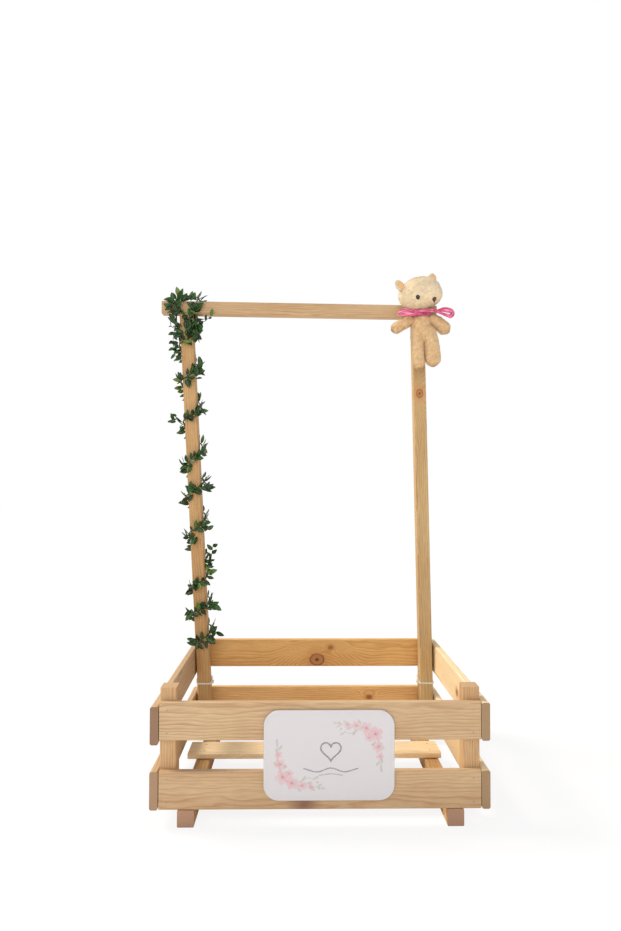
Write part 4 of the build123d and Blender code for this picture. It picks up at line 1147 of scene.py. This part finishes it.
def ribbonStrip(name, look, count=120, columns=21):
    # straight lines between two smooth edges, raised in lengthwise creases that sway from side to side
    upper = smoothPath(neckMiddle + np.array(look["upper"]) * mm, count)
    lower = smoothPath(neckMiddle + np.array(look["lower"]) * mm, count)
    u, v = np.linspace(0, 1, count)[:, None], np.linspace(0, 1, columns)[None, :]
    grid = upper[:, None] * (1 - v[..., None]) + lower[:, None] * v[..., None]
    normal = unit(np.cross(np.gradient(grid, axis=0), np.gradient(grid, axis=1)))
    sway = ribbonLook["sway"] * np.sin(ribbonLook["sways"] * u)
    folds = np.sin(2 * np.pi * (ribbonLook["creases"] * v + sway))
    crease = folds * np.sin(np.pi * v) * ribbonLook["crease"]
    grid = grid + normal * crease[..., None]
    faces = gridFaces(count, columns)
    made = meshObject(name + "_satin", grid.reshape(-1, 3), faces, ribbonFinish)
    flat = np.stack(np.broadcast_arrays(u, v), -1).reshape(-1, 2)
    corners = np.zeros(len(made.data.loops), dtype=np.int32)
    made.data.loops.foreach_get("vertex_index", corners)
    uv = made.data.uv_layers.new(name="ribbonUV")
    uv.data.foreach_set("uv", flat[corners].astype(np.float32).ravel())
    thick = made.modifiers.new("thickness", "SOLIDIFY")
    thick.thickness = ribbonLook["thickness"]
    thick.offset = 0
    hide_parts(*look["nodes"])


for pieceName, look in ribbonLook["loops"].items():
    ribbonStrip(pieceName, look)
dress(["ribbon_collar"], plainMaterial(
    "satin ribbon round the neck", "#cf4777", "#a92f58", 0.4, 2, 0.2, Sheen_Weight=0.3))
print("ribbon tied")


# Pile: short fibres all over the plush, closed spikes of four faces, thicker than real ones to show

pileLook = {"perPiece": 24000, "length": (0.0009, 0.0018), "radius": 0.00015, "wildness": 0.45,
            "scatter": 0.0006, "sink": 0.0003, "droop": 0.25}


def combPile(name, roots, look, seed):
    # spikes stand on random points of the plush, leaning down a little and to one side at random
    draw = np.random.default_rng(seed)
    counts = np.array([len(points) for points, _, _ in roots], float)
    share = (counts / counts.sum() * look["perPiece"]).astype(int)
    feet, ways = [], []
    for (points, normals, _), number in zip(roots, share):
        pick = draw.integers(0, len(points), number)
        jitter = draw.normal(size=(number, 3)) * look["scatter"]
        jitter -= normals[pick] * np.sum(jitter * normals[pick], axis=1, keepdims=True)
        feet.append(points[pick] + jitter - normals[pick] * look["sink"])
        stray = draw.normal(size=(number, 3)) * look["wildness"]
        ways.append(unit(normals[pick] + stray + (0, 0, -look["droop"])))
    feet, ways = np.concatenate(feet), np.concatenate(ways)
    reach = ways * draw.uniform(*look["length"], len(feet))[:, None]
    clear = (feet + reach)[:, 1] < bodyHigh[1]
    feet, ways, reach = feet[clear], ways[clear], reach[clear]
    side = unit(np.cross(ways, draw.normal(size=ways.shape)))
    other = np.cross(ways, side)
    corners = [side, side * -0.5 + other * 0.866, side * -0.5 - other * 0.866]
    points = np.stack([*(feet + corner * look["radius"] for corner in corners), feet + reach], 1)
    base = (np.arange(len(feet)) * 4)[:, None, None]
    faces = np.array([[0, 2, 1], [0, 1, 3], [1, 2, 3], [2, 0, 3]])[None] + base
    meshObject(name, points.reshape(-1, 3), faces.reshape(-1, 3), roots[0][2])


combPile("bear_head_pile", [skin for skin in skins if skin[2] is headPlush], pileLook, 77)
combPile("bear_body_pile", [skin for skin in skins if skin[2] is bodyPlush], pileLook, 78)
print("pile combed")


# Floor, world and lamps: plain, pale and soft

stageLook = {
    "floorSize": 8.0, "floorColour": "#f4f2ef", "floorGlow": 0.86,
    "worldStrength": 0.62, "worldColour": "#f3f5ff",
    "sun": dict(way=(0.66, -0.25, -0.71), strength=3.2, angle=22, colour="#fff6e8"),
    "fill": dict(place=(-0.35, -2.1, 1.1), aim=(0, 0, 0.35), size=1.6, power=21, colour="#ffffff"),
}


def layFloor(look):
    # a plain sheet: diffuse, with a share of its own white for the camera so that it meets the background
    material, tree, coords = startMaterial("matt white studio floor")
    path = addNode(tree, "ShaderNodeLightPath", out=None)
    noise = noiseAt(tree, coords, 30.0)
    tint = blend(tree, noise, linear(look["floorColour"]), linear("#eeece8"))
    matt = addNode(tree, "ShaderNodeBsdfDiffuse", {"Color": tint})
    glow = addNode(tree, "ShaderNodeEmission", {"Color": (1, 1, 1, 1), "Strength": 1.0})
    seen = maths(tree, "MULTIPLY", path.outputs["Is Camera Ray"], look["floorGlow"])
    both = addNode(tree, "ShaderNodeMixShader", {0: seen, 1: matt, 2: glow})
    addNode(tree, "ShaderNodeOutputMaterial", {"Surface": both}, out=None)
    half = look["floorSize"]
    mesh = bpy.data.meshes.new("floor")
    corners = [(-half, -half, 0), (half, -half, 0), (half, half, 0), (-half, half, 0)]
    mesh.from_pydata(corners, [], [(0, 1, 2, 3)])
    mesh.materials.append(material)
    made = addObject("floor", mesh)


def lightWorld(look):
    # an even pale sky for the object, plain white for the camera, a reflection or a see-through part
    world = bpy.data.worlds.new("studio")
    bpy.context.scene.world = world
    world.use_nodes = True
    tree = world.node_tree
    tree.nodes.clear()
    path = addNode(tree, "ShaderNodeLightPath", out=None)
    direct = maths(tree, "MAXIMUM", path.outputs["Is Camera Ray"], path.outputs["Is Glossy Ray"])
    direct = maths(tree, "MAXIMUM", direct, path.outputs["Is Transmission Ray"])
    soft = addNode(tree, "ShaderNodeBackground", {
        "Color": linear(look["worldColour"]), "Strength": look["worldStrength"]})
    white = addNode(tree, "ShaderNodeBackground", {"Color": (1, 1, 1, 1), "Strength": 1.0})
    both = addNode(tree, "ShaderNodeMixShader", {0: direct, 1: soft, 2: white})
    addNode(tree, "ShaderNodeOutputWorld", {"Surface": both}, out=None)


def hangLamps(look):
    # a wide sun from the upper left and behind, and one large soft panel beside the camera
    sun = bpy.data.lights.new("sun", "SUN")
    sun.energy = look["sun"]["strength"]
    sun.angle = np.radians(look["sun"]["angle"])
    sun.color = linear(look["sun"]["colour"])[:3]
    made = addObject("sun", sun)
    made.rotation_euler = Vector(look["sun"]["way"]).to_track_quat("-Z", "Y").to_euler()
    panel = bpy.data.lights.new("fill", "AREA")
    panel.energy = look["fill"]["power"]
    panel.size = look["fill"]["size"]
    panel.color = linear(look["fill"]["colour"])[:3]
    made = addObject("fill", panel)
    place = Vector(look["fill"]["place"])
    made.matrix_world = Matrix.Translation(place) @ (
        Vector(look["fill"]["aim"]) - place).to_track_quat("-Z", "Y").to_matrix().to_4x4()


layFloor(stageLook)
lightWorld(stageLook)
hangLamps(stageLook)
bpy.context.scene.view_settings.view_transform = "Standard"
print("studio lit")
